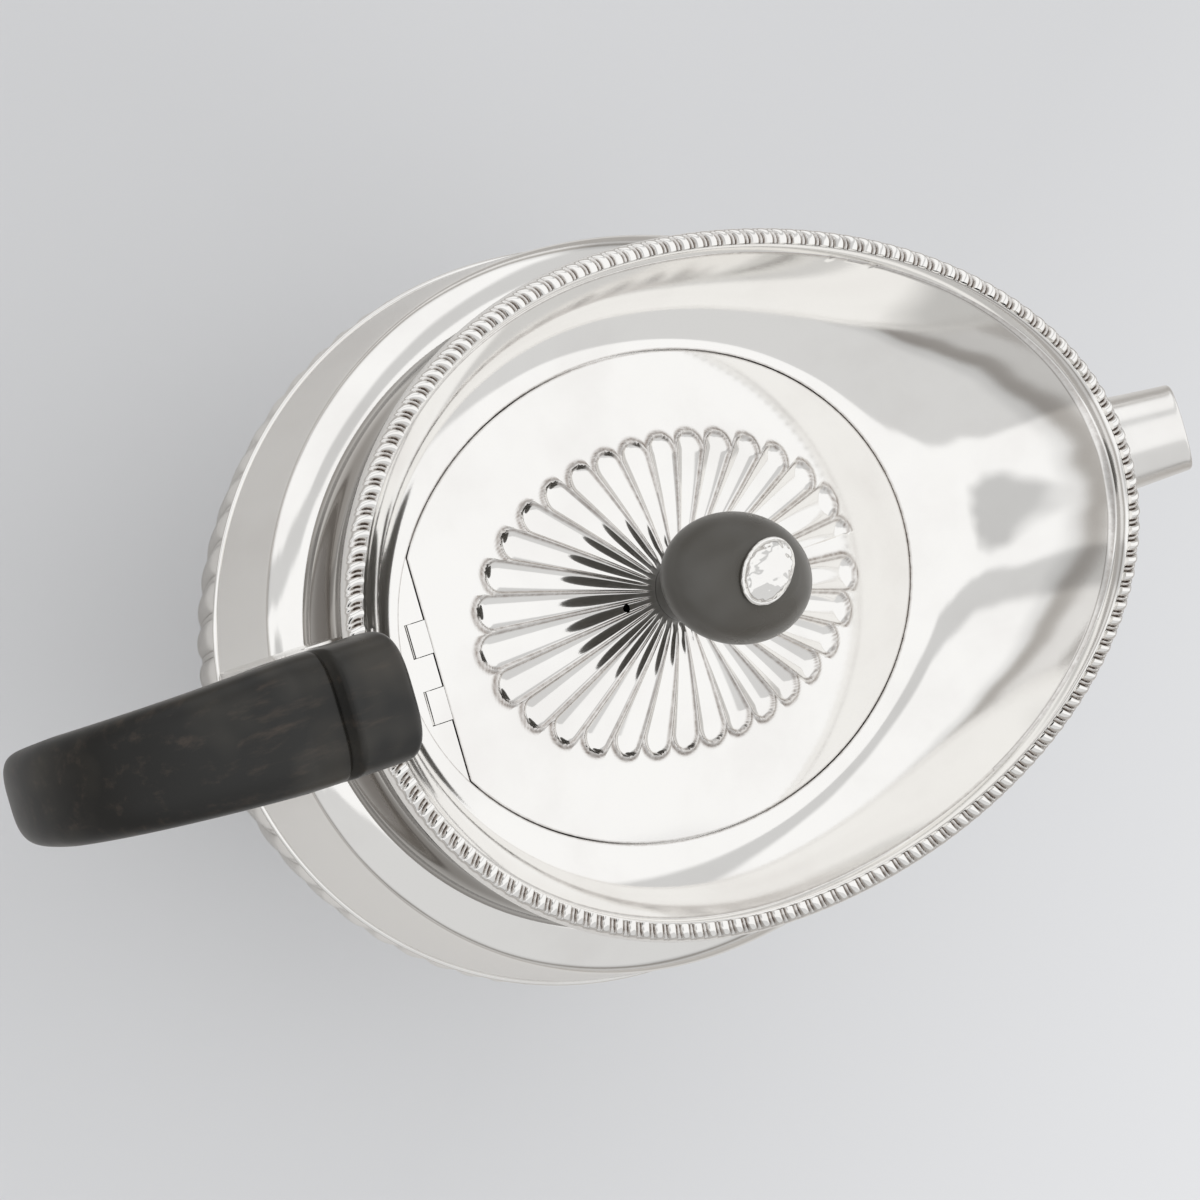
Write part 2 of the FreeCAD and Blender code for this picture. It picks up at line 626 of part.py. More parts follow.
def lid_dome():
    """The lid's domed top, as a full solid."""
    length, width, flat = size("lid_half_length"), size("lid_half_width"), size("lid_flat")
    shares = [flat + (1 - flat) * level for level in DOME_SECTIONS]
    wires = [oval_wire(length * share, width * share, lid_height(share)) for share in shares]
    return Part.makeLoft(wires, True, False)


def petal_cutters():
    """One hollow for each petal: a cone from the knob outwards with a round end."""
    length = size("lid_half_length") - size("petal_margin")
    width = size("lid_half_width") - size("petal_margin")
    tip_radius, tip_depth, start = size("petal_radius"), size("petal_depth"), size("petal_start")
    cutters = []

    def outline(turn):
        return Vector(length * math.cos(turn), width * math.sin(turn), 0)

    for turn in equal_turns(int(size("petal_count")), outline):
        outward = outline(turn).normalize()
        tip = outline(turn) - outward * math.sqrt(tip_radius ** 2 - (tip_radius - tip_depth) ** 2)
        share = math.hypot(tip.x / size("lid_half_length"), tip.y / size("lid_half_width"))
        tip.z = lid_height(share) + tip_radius - tip_depth
        root = Vector(tip.x * start, tip.y * start, 0)
        root.z = lid_height(share * start) + (tip_radius - tip_depth) * start
        axis = tip - root
        cutters.append(Part.makeCone(tip_radius * start, tip_radius, axis.Length, root, axis))
        cutters.append(Part.makeSphere(tip_radius, tip))
    return cutters


def lid_cover_shape():
    wall, low = size("sheet"), size("lid_z") - size("sheet")
    length, width, bevel = size("lid_half_length"), size("lid_half_width"), size("lid_bevel")
    edge_wires = [oval_wire(length - bevel, width - bevel, low), oval_wire(length, width, size("lid_z"))]
    edge = Part.makeLoft(edge_wires, True, True)
    hollow = lid_dome().translated(UP * -wall)
    shell = edge.fuse(lid_dome()).cut(hollow)
    for cutter in petal_cutters():
        shell = shell.cut(cutter)
    through = 2 * (size("lid_rise") + wall)
    vent = Part.makeCylinder(size("vent_radius"), through, Vector(size("vent_x"), 0, low), UP)
    stud_hole = Part.makeCylinder(size("stud_radius") + size("pin_clearance"), through, Vector(0, 0, low), UP)
    return shell.cut([vent, stud_hole, chord_cutter()])


def chord_cutter():
    """Everything behind the lid's rear edge, which slopes so that it swings clear of the hinge."""
    edge = size("hinge_x") + size("hinge_radius") + size("hinge_gap")
    rear, half = -2 * size("lid_half_length"), size("lid_half_width")
    low, middle, high = size("lid_z") - size("sheet"), size("lid_z"), size("lid_z") + size("lid_rise")
    places = ((rear, low), (edge + size("lid_rear_slope"), low), (edge, middle), (edge, high), (rear, high))
    outline = [Vector(x, -half, z) for x, z in places]
    return Part.Face(Part.makePolygon(outline + outline[:1])).extrude(Vector(0, 2 * half, 0))


lid_cover = feature("lid_cover", lid_cover_shape())


# Bezel under the lid

BEZEL_GROW = "(-Sizes.ledge_width - Sizes.lid_gap)"
BEZEL_LOW = "Sizes.lid_z - Sizes.sheet - Sizes.bezel_depth"
BEZEL_HEIGHT = "Sizes.bezel_depth + Sizes.lid_rise"


def under_lid_shape():
    """The room under the lid, one solder gap below it."""
    drop, deep = size("sheet") + size("solder_gap"), 2 * size("bezel_depth")
    dome = lid_dome().translated(UP * -drop)
    bottom = oval_wire(size("lid_half_length"), size("lid_half_width"), size("lid_z") - drop - deep)
    return dome.fuse(Part.Face(bottom).extrude(UP * deep))


bezel_outer = lid_slab("bezel_outer", BEZEL_GROW, BEZEL_LOW, BEZEL_HEIGHT)
bezel_inner = lid_slab("bezel_inner", f"{BEZEL_GROW} - Sizes.bezel_wall", BEZEL_LOW, BEZEL_HEIGHT)
bezel_rear = hinge_block("bezel_rear", "Sizes.hinge_x + Sizes.strap_length + Sizes.hinge_gap",
                         BEZEL_LOW, BEZEL_HEIGHT)
bezel_blank = cut("bezel_blank", bezel_outer, join("bezel_cuts", [bezel_inner, bezel_rear]))
lid_bezel = common("lid_bezel", [bezel_blank, feature("under_lid", under_lid_shape())])


# Knob, its cap and what holds it

KNOB_FOOT = "Sizes.lid_z + Sizes.lid_rise"
KNOB_Z = f"{KNOB_FOOT} + Sizes.knob_lift"
KNOB_SEAT = f"{KNOB_Z} + Sizes.knob_flat"


def oval_ball(label, length, width, height, z, twist):
    """An oval ball turned about the upright axis."""
    ball = primitive("Part::Ellipsoid", label, UP, size(twist), Radius1=height, Radius2=length,
                     Radius3=width, z=z)
    ball.Angle1 = -90
    ball.Angle2 = 90
    ball.Angle3 = 360
    return ball


def above(label, z):
    """A tall block over one height, to cut or keep what is above it."""
    side = "4 * Sizes.knob_half_length"
    return primitive("Part::Box", label, Length=side, Width=side, Height="4 * Sizes.knob_half_height",
                     x=f"-{side} / 2", y=f"-{side} / 2", z=z)


def rod(label, radius, z, height):
    return primitive("Part::Cylinder", label, Radius=radius, Height=height, z=z)


knob_ball = oval_ball("knob_ball", "Sizes.knob_half_length", "Sizes.knob_half_width",
                      "Sizes.knob_half_height", KNOB_Z, "knob_twist")
knob_stem = primitive("Part::Cone", "knob_stem", Radius1="Sizes.stem_radius", Radius2="Sizes.stem_top_radius",
                      Height="Sizes.knob_lift - Sizes.solder_gap", z=f"{KNOB_FOOT} + Sizes.solder_gap")
knob_cuts = join("knob_cuts", [
    above("knob_top_cut", KNOB_SEAT),
    rod("knob_bore", "Sizes.stud_radius + Sizes.pin_clearance", KNOB_FOOT, "4 * Sizes.knob_lift"),
])
knob = cut("knob", join("knob_blank", [knob_ball, knob_stem]), knob_cuts)

cap_outline = primitive("Part::Ellipse", "cap_outline", UP, size("cap_twist"),
                        MajorRadius="Sizes.cap_half_length", MinorRadius="Sizes.cap_half_width",
                        z=f"{KNOB_SEAT} + Sizes.solder_gap")
cap_plate = raised("cap_plate", cap_outline, "Sizes.cap_flange")
cap_ball = oval_ball("cap_ball", "Sizes.cap_half_length - Sizes.cap_rim",
                     "Sizes.cap_half_width - Sizes.cap_rim", "Sizes.cap_rise",
                     f"{KNOB_SEAT} + Sizes.solder_gap + Sizes.cap_flange", "cap_twist")
cap_dome = common("cap_dome", [cap_ball, above("cap_side", f"{KNOB_SEAT} + Sizes.solder_gap")])
knob_cap = join("knob_cap", [cap_plate, cap_dome])

LID_UNDER = f"{KNOB_FOOT} - Sizes.sheet"
WASHER_Z = f"{LID_UNDER} - Sizes.solder_gap - Sizes.washer_thick"
NUT_Z = f"{WASHER_Z} - Sizes.nut_height"
STUD_Z = f"{NUT_Z} - Sizes.stud_tail"
knob_stud = rod("knob_stud", "Sizes.stud_radius", STUD_Z, f"{KNOB_SEAT} - ({STUD_Z})")
knob_washer = cut("knob_washer", rod("washer_blank", "Sizes.washer_radius", WASHER_Z, "Sizes.washer_thick"),
                  rod("washer_hole", "Sizes.stud_radius + Sizes.pin_clearance", f"{WASHER_Z} - Sizes.sheet",
                      "4 * Sizes.sheet"))
nut_blank = primitive("Part::Prism", "nut_blank", Circumradius="Sizes.nut_radius",
                      Height="Sizes.nut_height", z=NUT_Z)
nut_blank.Polygon = 6
knob_nut = cut("knob_nut", nut_blank,
               rod("nut_hole", "Sizes.stud_radius + Sizes.pin_clearance", f"{NUT_Z} - Sizes.sheet",
                   "2 * Sizes.nut_height"))


# Handle: sections along two straight arms and a half round bend, with two tenons

def soft_wire(middle, across, thick, width, fullness):
    """A rounded section with one thickness across a line in the XZ plane and one width in Y."""
    points = []
    for step in range(SECTION_POINTS):
        turn = 2 * math.pi * step / SECTION_POINTS
        lean_c = math.copysign(abs(math.cos(turn)) ** fullness, math.cos(turn))
        lean_s = math.copysign(abs(math.sin(turn)) ** fullness, math.sin(turn))
        points.append(middle + across * (lean_c * thick / 2) + Vector(0, lean_s * width / 2, 0))
    curve = Part.BSplineCurve()
    curve.interpolate(points, PeriodicFlag=True)
    return Part.Wire([curve.toShape()])


def handle_sections():
    """Middle, direction across, thickness and width of each section from the scroll to the lower end."""
    bend = Vector(size("bend_x"), 0, size("bend_z"))
    radius, thick = size("bend_radius"), size("handle_thick")
    top_width, bend_width = size("handle_top_width"), size("handle_bend_width")
    top = bend.z + radius
    scroll_x, scroll_length, scroll = size("scroll_x"), size("scroll_length"), size("scroll_thick")
    under = top - thick / 2
    sections = []
    for reach, share, narrow in SCROLL_SECTIONS:
        middle = Vector(scroll_x - reach * scroll_length, 0, under + scroll / 2)
        sections.append((middle, UP, share * scroll, narrow * top_width))
    groove = size("groove_thick")
    sections.append((Vector(scroll_x - scroll_length, 0, under + groove / 2), UP, groove, top_width))
    for angle in BEND_ANGLES:
        turn = math.radians(angle)
        across = Vector(math.cos(turn), 0, math.sin(turn))
        upper_share = min(1, (angle - 90) / 90)
        lower_share = max(0, (angle - 180) / 90)
        width = top_width + (bend_width - top_width) * upper_share
        width += (size("handle_foot_width") - bend_width) * lower_share
        depth = thick + (size("handle_foot_thick") - thick) * lower_share
        sections.append((bend + across * radius, across, depth, width))
    end = Vector(size("lower_socket_x"), 0, bend.z - radius)
    sections.append((end, UP * -1, size("handle_foot_thick"), size("handle_foot_width")))
    return sections


def sleeve_mouth():
    """Height of the upper socket's mouth, on which the handle sits."""
    return size("bend_z") + size("bend_radius") - size("handle_thick") / 2


def handle_shape():
    fullness = size("handle_fullness")
    strap = Part.makeLoft([soft_wire(*section, fullness) for section in handle_sections()], True, False)
    gap, wall = size("solder_gap"), size("sleeve_wall")
    long, wide = size("sleeve_length") - 2 * (wall + gap), size("sleeve_width") - 2 * (wall + gap)
    depth = size("sleeve_depth") - gap
    corner = Vector(size("sleeve_x") - long / 2, -wide / 2, sleeve_mouth() - depth)
    upper_tenon = Part.makeBox(long, wide, depth + size("handle_thick") / 2, corner)
    middle = size("bend_z") - size("bend_radius")
    tenon_length = size("lower_tenon_length")
    lower_tenon = Part.makeCylinder(size("lower_tenon_radius"), 2 * tenon_length,
                                    Vector(size("lower_socket_x") - tenon_length, 0, middle), Vector(1, 0, 0))
    seat = Part.makeBox(size("sleeve_length"), 2 * size("sleeve_width"), size("handle_thick"),
                        Vector(size("sleeve_x") - size("sleeve_length") / 2, -size("sleeve_width"),
                               sleeve_mouth() + gap - size("handle_thick")))
    holes = [pin_hole(place) for place in pin_places()]
    return strap.cut(seat).fuse([upper_tenon, lower_tenon]).cut(holes)


def pin_places():
    """Where the two handle pins cross, as X and Z."""
    upper = (size("sleeve_x"), sleeve_mouth() - size("sleeve_depth") / 2)
    lower = (size("lower_socket_x") + size("lower_tenon_length") / 2, size("bend_z") - size("bend_radius"))
    return upper, lower


def pin_hole(place):
    """A long cylinder along Y that bores the hole of a handle pin."""
    x, z = place
    width = size("rim_half_width")
    radius = size("handle_pin_radius") + size("pin_clearance")
    return Part.makeCylinder(radius, 2 * width, Vector(x, -width, z), Vector(0, 1, 0))


handle = feature("handle", handle_shape())


# Sockets: padded side outlines, hollowed for the tenons and fitted to the pot

SLEEVE_MOUTH = "Sizes.bend_z + Sizes.bend_radius - Sizes.handle_thick / 2"
LOWER_Z = "Sizes.bend_z - Sizes.bend_radius"
UPPER_PIN_Z = f"{SLEEVE_MOUTH} - Sizes.sleeve_depth / 2"
LOWER_PIN_X = "Sizes.lower_socket_x + Sizes.lower_tenon_length / 2"


def outline_pad(label, corners, width):
    """A body padded both ways from an outline in the XZ plane, whose corners are bound to the sheet."""
    body = doc.addObject("PartDesign::Body", label)
    sketch = body.newObject("Sketcher::SketchObject", label + "_outline")
    plane = [item for item in body.Origin.OriginFeatures if item.Role == "XZ_Plane"][0]
    sketch.AttachmentSupport = [(plane, "")]
    sketch.MapMode = "FlatFace"
    count = len(corners)
    values = [(sheet.evalExpression(x), sheet.evalExpression(z)) for x, z in corners]
    places = [Vector(float(x), float(z), 0) for x, z in values]
    for index in range(count):
        sketch.addGeometry(Part.LineSegment(places[index], places[(index + 1) % count]))
    for index in range(count):
        sketch.addConstraint(Sketcher.Constraint("Coincident", index, 2, (index + 1) % count, 1))
    for index, (x, z) in enumerate(corners):
        across = sketch.addConstraint(Sketcher.Constraint("DistanceX", -1, 1, index, 1, places[index].x))
        upward = sketch.addConstraint(Sketcher.Constraint("DistanceY", -1, 1, index, 1, places[index].y))
        sketch.setExpression(f"Constraints[{across}]", x)
        sketch.setExpression(f"Constraints[{upward}]", z)
    pad = body.newObject("PartDesign::Pad", label + "_pad")
    pad.Profile = sketch
    pad.SideType = "Symmetric"
    pad.setExpression("Length", width)
    doc.recompute()
    return body, pad


def round_edges(label, body, base, radius, pick):
    """Fillet the edges of a body that a test picks."""
    names = [f"Edge{number}" for number, edge in enumerate(base.Shape.Edges, start=1) if pick(edge)]
    fillet = body.newObject("PartDesign::Fillet", label)
    fillet.Base = (base, names)
    fillet.setExpression("Radius", radius)
    doc.recompute()
    return fillet


def along_y(edge):
    return abs(edge.tangentAt(edge.FirstParameter).y) > 0.99


ARM_TOP = f"{SLEEVE_MOUTH} - Sizes.arm_drop"
ARM_BOTTOM = f"{ARM_TOP} - Sizes.arm_height"
SLEEVE_FRONT = "Sizes.sleeve_x + Sizes.sleeve_length / 2"
SLEEVE_BACK = "Sizes.sleeve_x - Sizes.sleeve_length / 2"
ARM_END = "-Sizes.rim_rear + 2 * Sizes.neck_root_inset"
upper_body, upper_pad = outline_pad("upper_socket_blank", [
    (ARM_END, ARM_BOTTOM),
    (ARM_END, ARM_TOP),
    (SLEEVE_FRONT, ARM_TOP),
    (SLEEVE_FRONT, SLEEVE_MOUTH),
    (SLEEVE_BACK, SLEEVE_MOUTH),
    (SLEEVE_BACK, f"{ARM_TOP} - Sizes.arm_height / 2"),
    (f"{SLEEVE_FRONT} - Sizes.sleeve_length / 2", ARM_BOTTOM),
], "Sizes.sleeve_width")


def lower_corner(edge):
    """Whether an edge is one of the two at the back of the sleeve, below its mouth."""
    centre = edge.CenterOfMass
    at_back = centre.x < size("sleeve_x") + size("sleeve_length") / 4
    return along_y(edge) and at_back and centre.z < sleeve_mouth() - size("arm_drop") / 2


def inner_corner(edge):
    """Whether an edge is the corner between the sleeve's front and the arm's top."""
    corner = Vector(size("sleeve_x") + size("sleeve_length") / 2, 0, sleeve_mouth() - size("arm_drop"))
    return along_y(edge) and edge.CenterOfMass.distanceToPoint(corner) < size("solder_gap")


rounded_back = round_edges("socket_back", upper_body, upper_pad, "Sizes.socket_round", lower_corner)
round_edges("socket_corner", upper_body, rounded_back, "Sizes.socket_fillet", inner_corner)
doc.recompute()


def sleeve_mortise():
    wall = size("sleeve_wall")
    long, wide = size("sleeve_length") - 2 * wall, size("sleeve_width") - 2 * wall
    corner = Vector(size("sleeve_x") - long / 2, -wide / 2, sleeve_mouth() - size("sleeve_depth"))
    return Part.makeBox(long, wide, 2 * size("sleeve_depth"), corner)


def neck_tool():
    """The pot's outside at the handle end, one solder gap larger, up to the rim."""
    levels = [neck_profile(step / NECK_STEPS, size("rim_rear_z")) for step in range(NECK_STEPS + 1)]
    neck = Part.makeLoft([plan_wire(grow + size("solder_gap"), z) for grow, z in levels], True, True)
    return neck.fuse(pot_outer)


upper_cuts = [neck_tool(), sleeve_mortise(), pin_hole(pin_places()[0])]
upper_handle_socket = feature("upper_handle_socket", upper_body.Shape.cut(upper_cuts))


def lower_socket_shape():
    """A short rounded socket, with a stepped mouth for the handle, fitted to the lobed bowl."""
    thick = size("handle_foot_thick") + 2 * size("lower_socket_rim")
    width = size("handle_foot_width") + 2 * size("lower_socket_rim")
    middle = size("bend_z") - size("bend_radius")
    wires = []
    for x in (size("lower_socket_x") + size("solder_gap"), size("lower_socket_bury") - size("rim_rear")):
        wires.append(soft_wire(Vector(x, 0, middle), UP, thick, width, size("handle_fullness")))
    block = Part.makeLoft(wires, True, True)
    mortise = Part.makeCylinder(size("lower_tenon_radius") + size("solder_gap"),
                                size("lower_tenon_length") + size("solder_gap"),
                                Vector(size("lower_socket_x"), 0, middle), Vector(1, 0, 0))
    return block.cut([pot_outer, mortise, pin_hole(pin_places()[1])])


lower_handle_socket = feature("lower_handle_socket", lower_socket_shape())


def cross_pin(label, x, z, length):
    return primitive("Part::Cylinder", label, Vector(1, 0, 0), -90.0, Radius="Sizes.handle_pin_radius",
                     Height=length, x=x, y=f"-({length}) / 2", z=z)


upper_handle_pin = cross_pin("upper_handle_pin", "Sizes.sleeve_x", UPPER_PIN_Z, "Sizes.sleeve_width")
lower_handle_pin = cross_pin("lower_handle_pin", LOWER_PIN_X, LOWER_Z,
                             "Sizes.handle_foot_width + 2 * Sizes.lower_socket_rim")


# Spout: oval sections along a gentle S curve, whose mouth leans forward

def spout_line(share):
    """Middle and direction of the spout after a share of its length."""
    start = Vector(size("spout_root_x"), 0, size("spout_root_z"))
    end = Vector(size("spout_tip_x"), 0, size("spout_tip_z"))
    pull = (end - start).Length
    headings = [math.radians(size(name)) for name in ("spout_root_angle", "spout_tip_angle")]
    first, last = [Vector(math.cos(angle), 0, math.sin(angle)) * pull for angle in headings]
    s = share
    middle = (start * (2 * s ** 3 - 3 * s ** 2 + 1) + first * (s ** 3 - 2 * s ** 2 + s)
              + end * (3 * s ** 2 - 2 * s ** 3) + last * (s ** 3 - s ** 2))
    heading = (start * (6 * s ** 2 - 6 * s) + first * (3 * s ** 2 - 4 * s + 1)
               + end * (6 * s - 6 * s ** 2) + last * (3 * s ** 2 - 2 * s))
    return middle, heading.normalize()


def spout_wire(share, inset):
    middle, heading = spout_line(share)
    across = Vector(-heading.z, 0, heading.x)
    taper = (1 - share) ** size("spout_taper")
    width = size("spout_tip_width") + (size("spout_root_width") - size("spout_tip_width")) * taper
    height = size("spout_tip_height") + (size("spout_root_height") - size("spout_tip_height")) * taper
    return soft_wire(middle, across, height - 2 * inset, width - 2 * inset, 1)


def spout_shape():
    shares = [step / SPOUT_STEPS for step in range(SPOUT_STEPS + 1)]
    outside = Part.makeLoft([spout_wire(share, 0) for share in shares], True, False)
    bore = Part.makeLoft([spout_wire(share, size("spout_wall")) for share in shares], True, False)
    return outside.cut([bore, pot_outer])


spout = feature("spout", spout_shape())

PIECES = (
    body_shell, base_plate, foot_rim, neck_collar, gadroon_border, top_plate, lid_ledge, spout,
    upper_handle_socket, lower_handle_socket, handle, upper_handle_pin, lower_handle_pin,
    body_hinge_leaf, hinge_pin,
    lid_cover, lid_bezel, lid_hinge_knuckles, knob, knob_cap, knob_stud, knob_washer, knob_nut,
)

doc.recompute()
for item in doc.Objects:
    if "Invalid" in item.State or "Error" in item.State:
        raise RuntimeError(f"{item.Label} did not build")
for piece in PIECES:
    if piece.Shape.isNull() or not piece.Shape.isValid() or not piece.Shape.Solids:
        raise RuntimeError(f"{piece.Label} has no valid solid")

os.makedirs("parts", exist_ok=True)
for piece in PIECES:
    piece.Shape.exportStep(f"parts/{piece.Label}.step")
    print(f"{piece.Label}: {len(piece.Shape.Solids)} solid, {piece.Shape.Volume:.0f} cubic mm")
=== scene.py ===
import math

import bpy
import numpy as np
from bpy.props import FloatProperty, FloatVectorProperty, IntProperty, PointerProperty
from mathutils import Matrix, Vector


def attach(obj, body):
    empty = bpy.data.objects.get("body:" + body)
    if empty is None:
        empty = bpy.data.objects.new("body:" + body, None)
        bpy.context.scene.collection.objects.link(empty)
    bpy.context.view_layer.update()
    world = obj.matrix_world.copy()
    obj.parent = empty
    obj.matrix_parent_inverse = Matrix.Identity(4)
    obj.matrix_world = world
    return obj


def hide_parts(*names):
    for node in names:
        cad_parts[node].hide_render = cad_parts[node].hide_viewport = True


bl_info = {
    "name": "Silver teapot",
    "version": (1, 0, 0),
    "blender": (4, 5, 0),
    "location": "3D View > Sidebar > Teapot",
    "description": "Builds the looks of an oval half-fluted silver teapot round its packed solids",
    "category": "Add Mesh",
}

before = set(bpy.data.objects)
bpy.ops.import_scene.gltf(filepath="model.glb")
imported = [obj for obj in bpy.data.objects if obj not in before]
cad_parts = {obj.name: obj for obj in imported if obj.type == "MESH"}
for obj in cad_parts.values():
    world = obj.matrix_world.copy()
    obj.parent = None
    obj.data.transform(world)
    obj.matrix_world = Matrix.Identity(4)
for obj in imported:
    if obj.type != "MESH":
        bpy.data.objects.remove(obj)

# Columns of a plain ring round the pot
RING = 720
# Steps by which the length round a plan is measured
PLAN_STEPS = 20001
# Gap between pieces that rest on each other
SEAT_GAP = 0.00005
# Edges sharper than this stay sharp on a smooth mesh
CREASE = math.radians(38)


def length(name, default, description):
    return FloatProperty(name=name, description=description, default=default, unit="LENGTH", precision=5)


def share(name, default, description):
    return FloatProperty(name=name, description=description, default=default, subtype="FACTOR")


def angle(name, degrees, description):
    return FloatProperty(name=name, description=description, default=math.radians(degrees), subtype="ANGLE")


def colour(name, default, description):
    return FloatVectorProperty(name=name, description=description, default=default, subtype="COLOR",
                               size=4, min=0, max=1)


class TeapotPlan(bpy.types.PropertyGroup):
    """The rim's plan and heights, which most pieces follow."""
    rim_front: length("Rim front", 0.0770, "Rim from the knob axis to the prow")
    rim_rear: length("Rim rear", 0.0668, "Rim from the knob axis to the handle end")
    rim_half_width: length("Rim half width", 0.0522, "Half the width of the rim")
    rim_front_z: length("Rim front height", 0.0914, "Rim height at the prow")
    rim_mid_z: length("Rim middle height", 0.0751, "Rim height beside the knob")
    rim_rear_z: length("Rim rear height", 0.0714, "Rim height at the handle end")
    sheet: length("Sheet", 0.0012, "Thickness of the silver sheet")
    seam: length("Seam", 0.00025, "Gap round the lid")


class TeapotBody(bpy.types.PropertyGroup):
    """The bowl, band, shoulder, foot and neck."""
    foot_height: length("Foot height", 0.0050, "Height of the foot")
    foot_flare: length("Foot flare", 0.0025, "Spread of the foot at the table")
    foot_ring: length("Foot ring", 0.0060, "Width of the foot ring")
    inset: length("Bowl inset", 0.0240, "How far the bowl's sides draw in from the rim to the foot")
    end_inset: length("Bowl end inset", 0.0338, "How far the bowl's ends draw in from the rim to the foot")
    lean: angle("Bowl lean", 39, "Angle of the bowl's side where it leaves the ridge")
    turn: angle("Bowl turn", 70, "Angle of the bowl's side where it meets the foot")
    lobes: IntProperty(name="Lobes", description="Lobes round the bowl", default=72)
    lobe_depth: length("Lobe depth", 0.0012, "Height of a lobe over its grooves")
    lobe_share: share("Lobe share", 0.84, "Share of a lobe's pitch that the lobe takes, beside its thin rib")
    ridge_z: length("Ridge height", 0.0440, "Height of the ridge above the lobes")
    ridge_height: length("Ridge bead", 0.0006, "Height of the ridge bead")
    ridge_proud: length("Ridge proud", 0.0004, "How far the ridge bead stands out")
    band_proud: length("Band proud", 0.0030, "How far the plain band stands outside the rim")
    shoulder_z: length("Shoulder", 0.0565, "Top of the plain band")
    neck_root_z: length("Neck root", 0.0604, "Where the shoulder meets the neck")
    neck_inset: length("Neck inset", 0.0040, "How far the neck's root is inside the rim")
    neck_rear_inset: length("Neck rear inset", 0.0018,
                            "How far the neck's root is inside the rim at the handle end")
    neck_hollow: length("Neck hollow", 0.0013, "Depth of the neck's hollow curve")
    strainer_pitch: length("Strainer pitch", 0.0030, "Pitch of the strainer holes")
    strainer_radius: length("Strainer hole", 0.0010, "Radius of a strainer hole")
    strainer_z: length("Strainer height", 0.0515, "Height of the middle of the strainer")
    strainer_rows: IntProperty(name="Strainer rows", description="Rows of strainer holes", default=3)


class TeapotTop(bpy.types.PropertyGroup):
    """The border, dished top and lid."""
    border_width: length("Border width", 0.0025, "Width of the gadroon border")
    border_rise: length("Border rise", 0.0015, "Rise of the border from its outer to its inner edge")
    border_base: length("Border base", 0.0008, "Depth of the border below its outer edge")
    border_bulge: length("Border bulge", 0.00075, "Roundness of the border")
    gadroons: IntProperty(name="Gadroons", description="Lobes round the border", default=158)
    gadroon_depth: length("Gadroon depth", 0.00075, "Depth of the cuts between the border's lobes")
    gadroon_lean: share("Gadroon lean", 0.38, "Slant of the border's lobes, in lobes")
    dish_drop: length("Dish drop", 0.0004, "Drop from the border's inner edge to the dished top")
    dish_power: FloatProperty(name="Dish power", description="How fast the dished top falls away",
                              default=1.9)
    wire: length("Fillet", 0.0011, "Width of the plain fillet inside the border")
    lid_length: length("Lid half length", 0.0517, "Half the length of the lid's ellipse")
    lid_width: length("Lid half width", 0.0364, "Half the width of the lid")
    lid_z: length("Lid height", 0.0653, "Height of the lid's edge")
    lid_rise: length("Lid rise", 0.0040, "Rise of the lid's dome")
    lid_power: FloatProperty(name="Dome power", description="Flatness of the lid's dome", default=1.8)
    lid_flat: share("Lid flat", 0.15, "Flat under the knob, as a share of the lid")
    lid_bevel: length("Lid bevel", 0.0004, "How far the lid's edge slopes in below")
    lid_rear: length("Lid rear edge", -0.04565, "Straight rear edge of the lid at its top")
    flush_length: length("Flush length", 0.0090,
                         "Length over which the lid's dome falls level with its hinge")
    petals: IntProperty(name="Petals", description="Petals of the rosette", default=32)
    petal_margin: length("Petal margin", 0.0130, "Plain margin outside the petals")
    petal_depth: length("Petal depth", 0.00075, "Depth of a petal's hollow at its tip")
    petal_bead: length("Petal bead", 0.00022, "Height of the raised line round a petal")
    vent_x: length("Vent", -0.0106, "Place of the vent hole")
    vent_radius: length("Vent radius", 0.00065, "Radius of the vent hole")


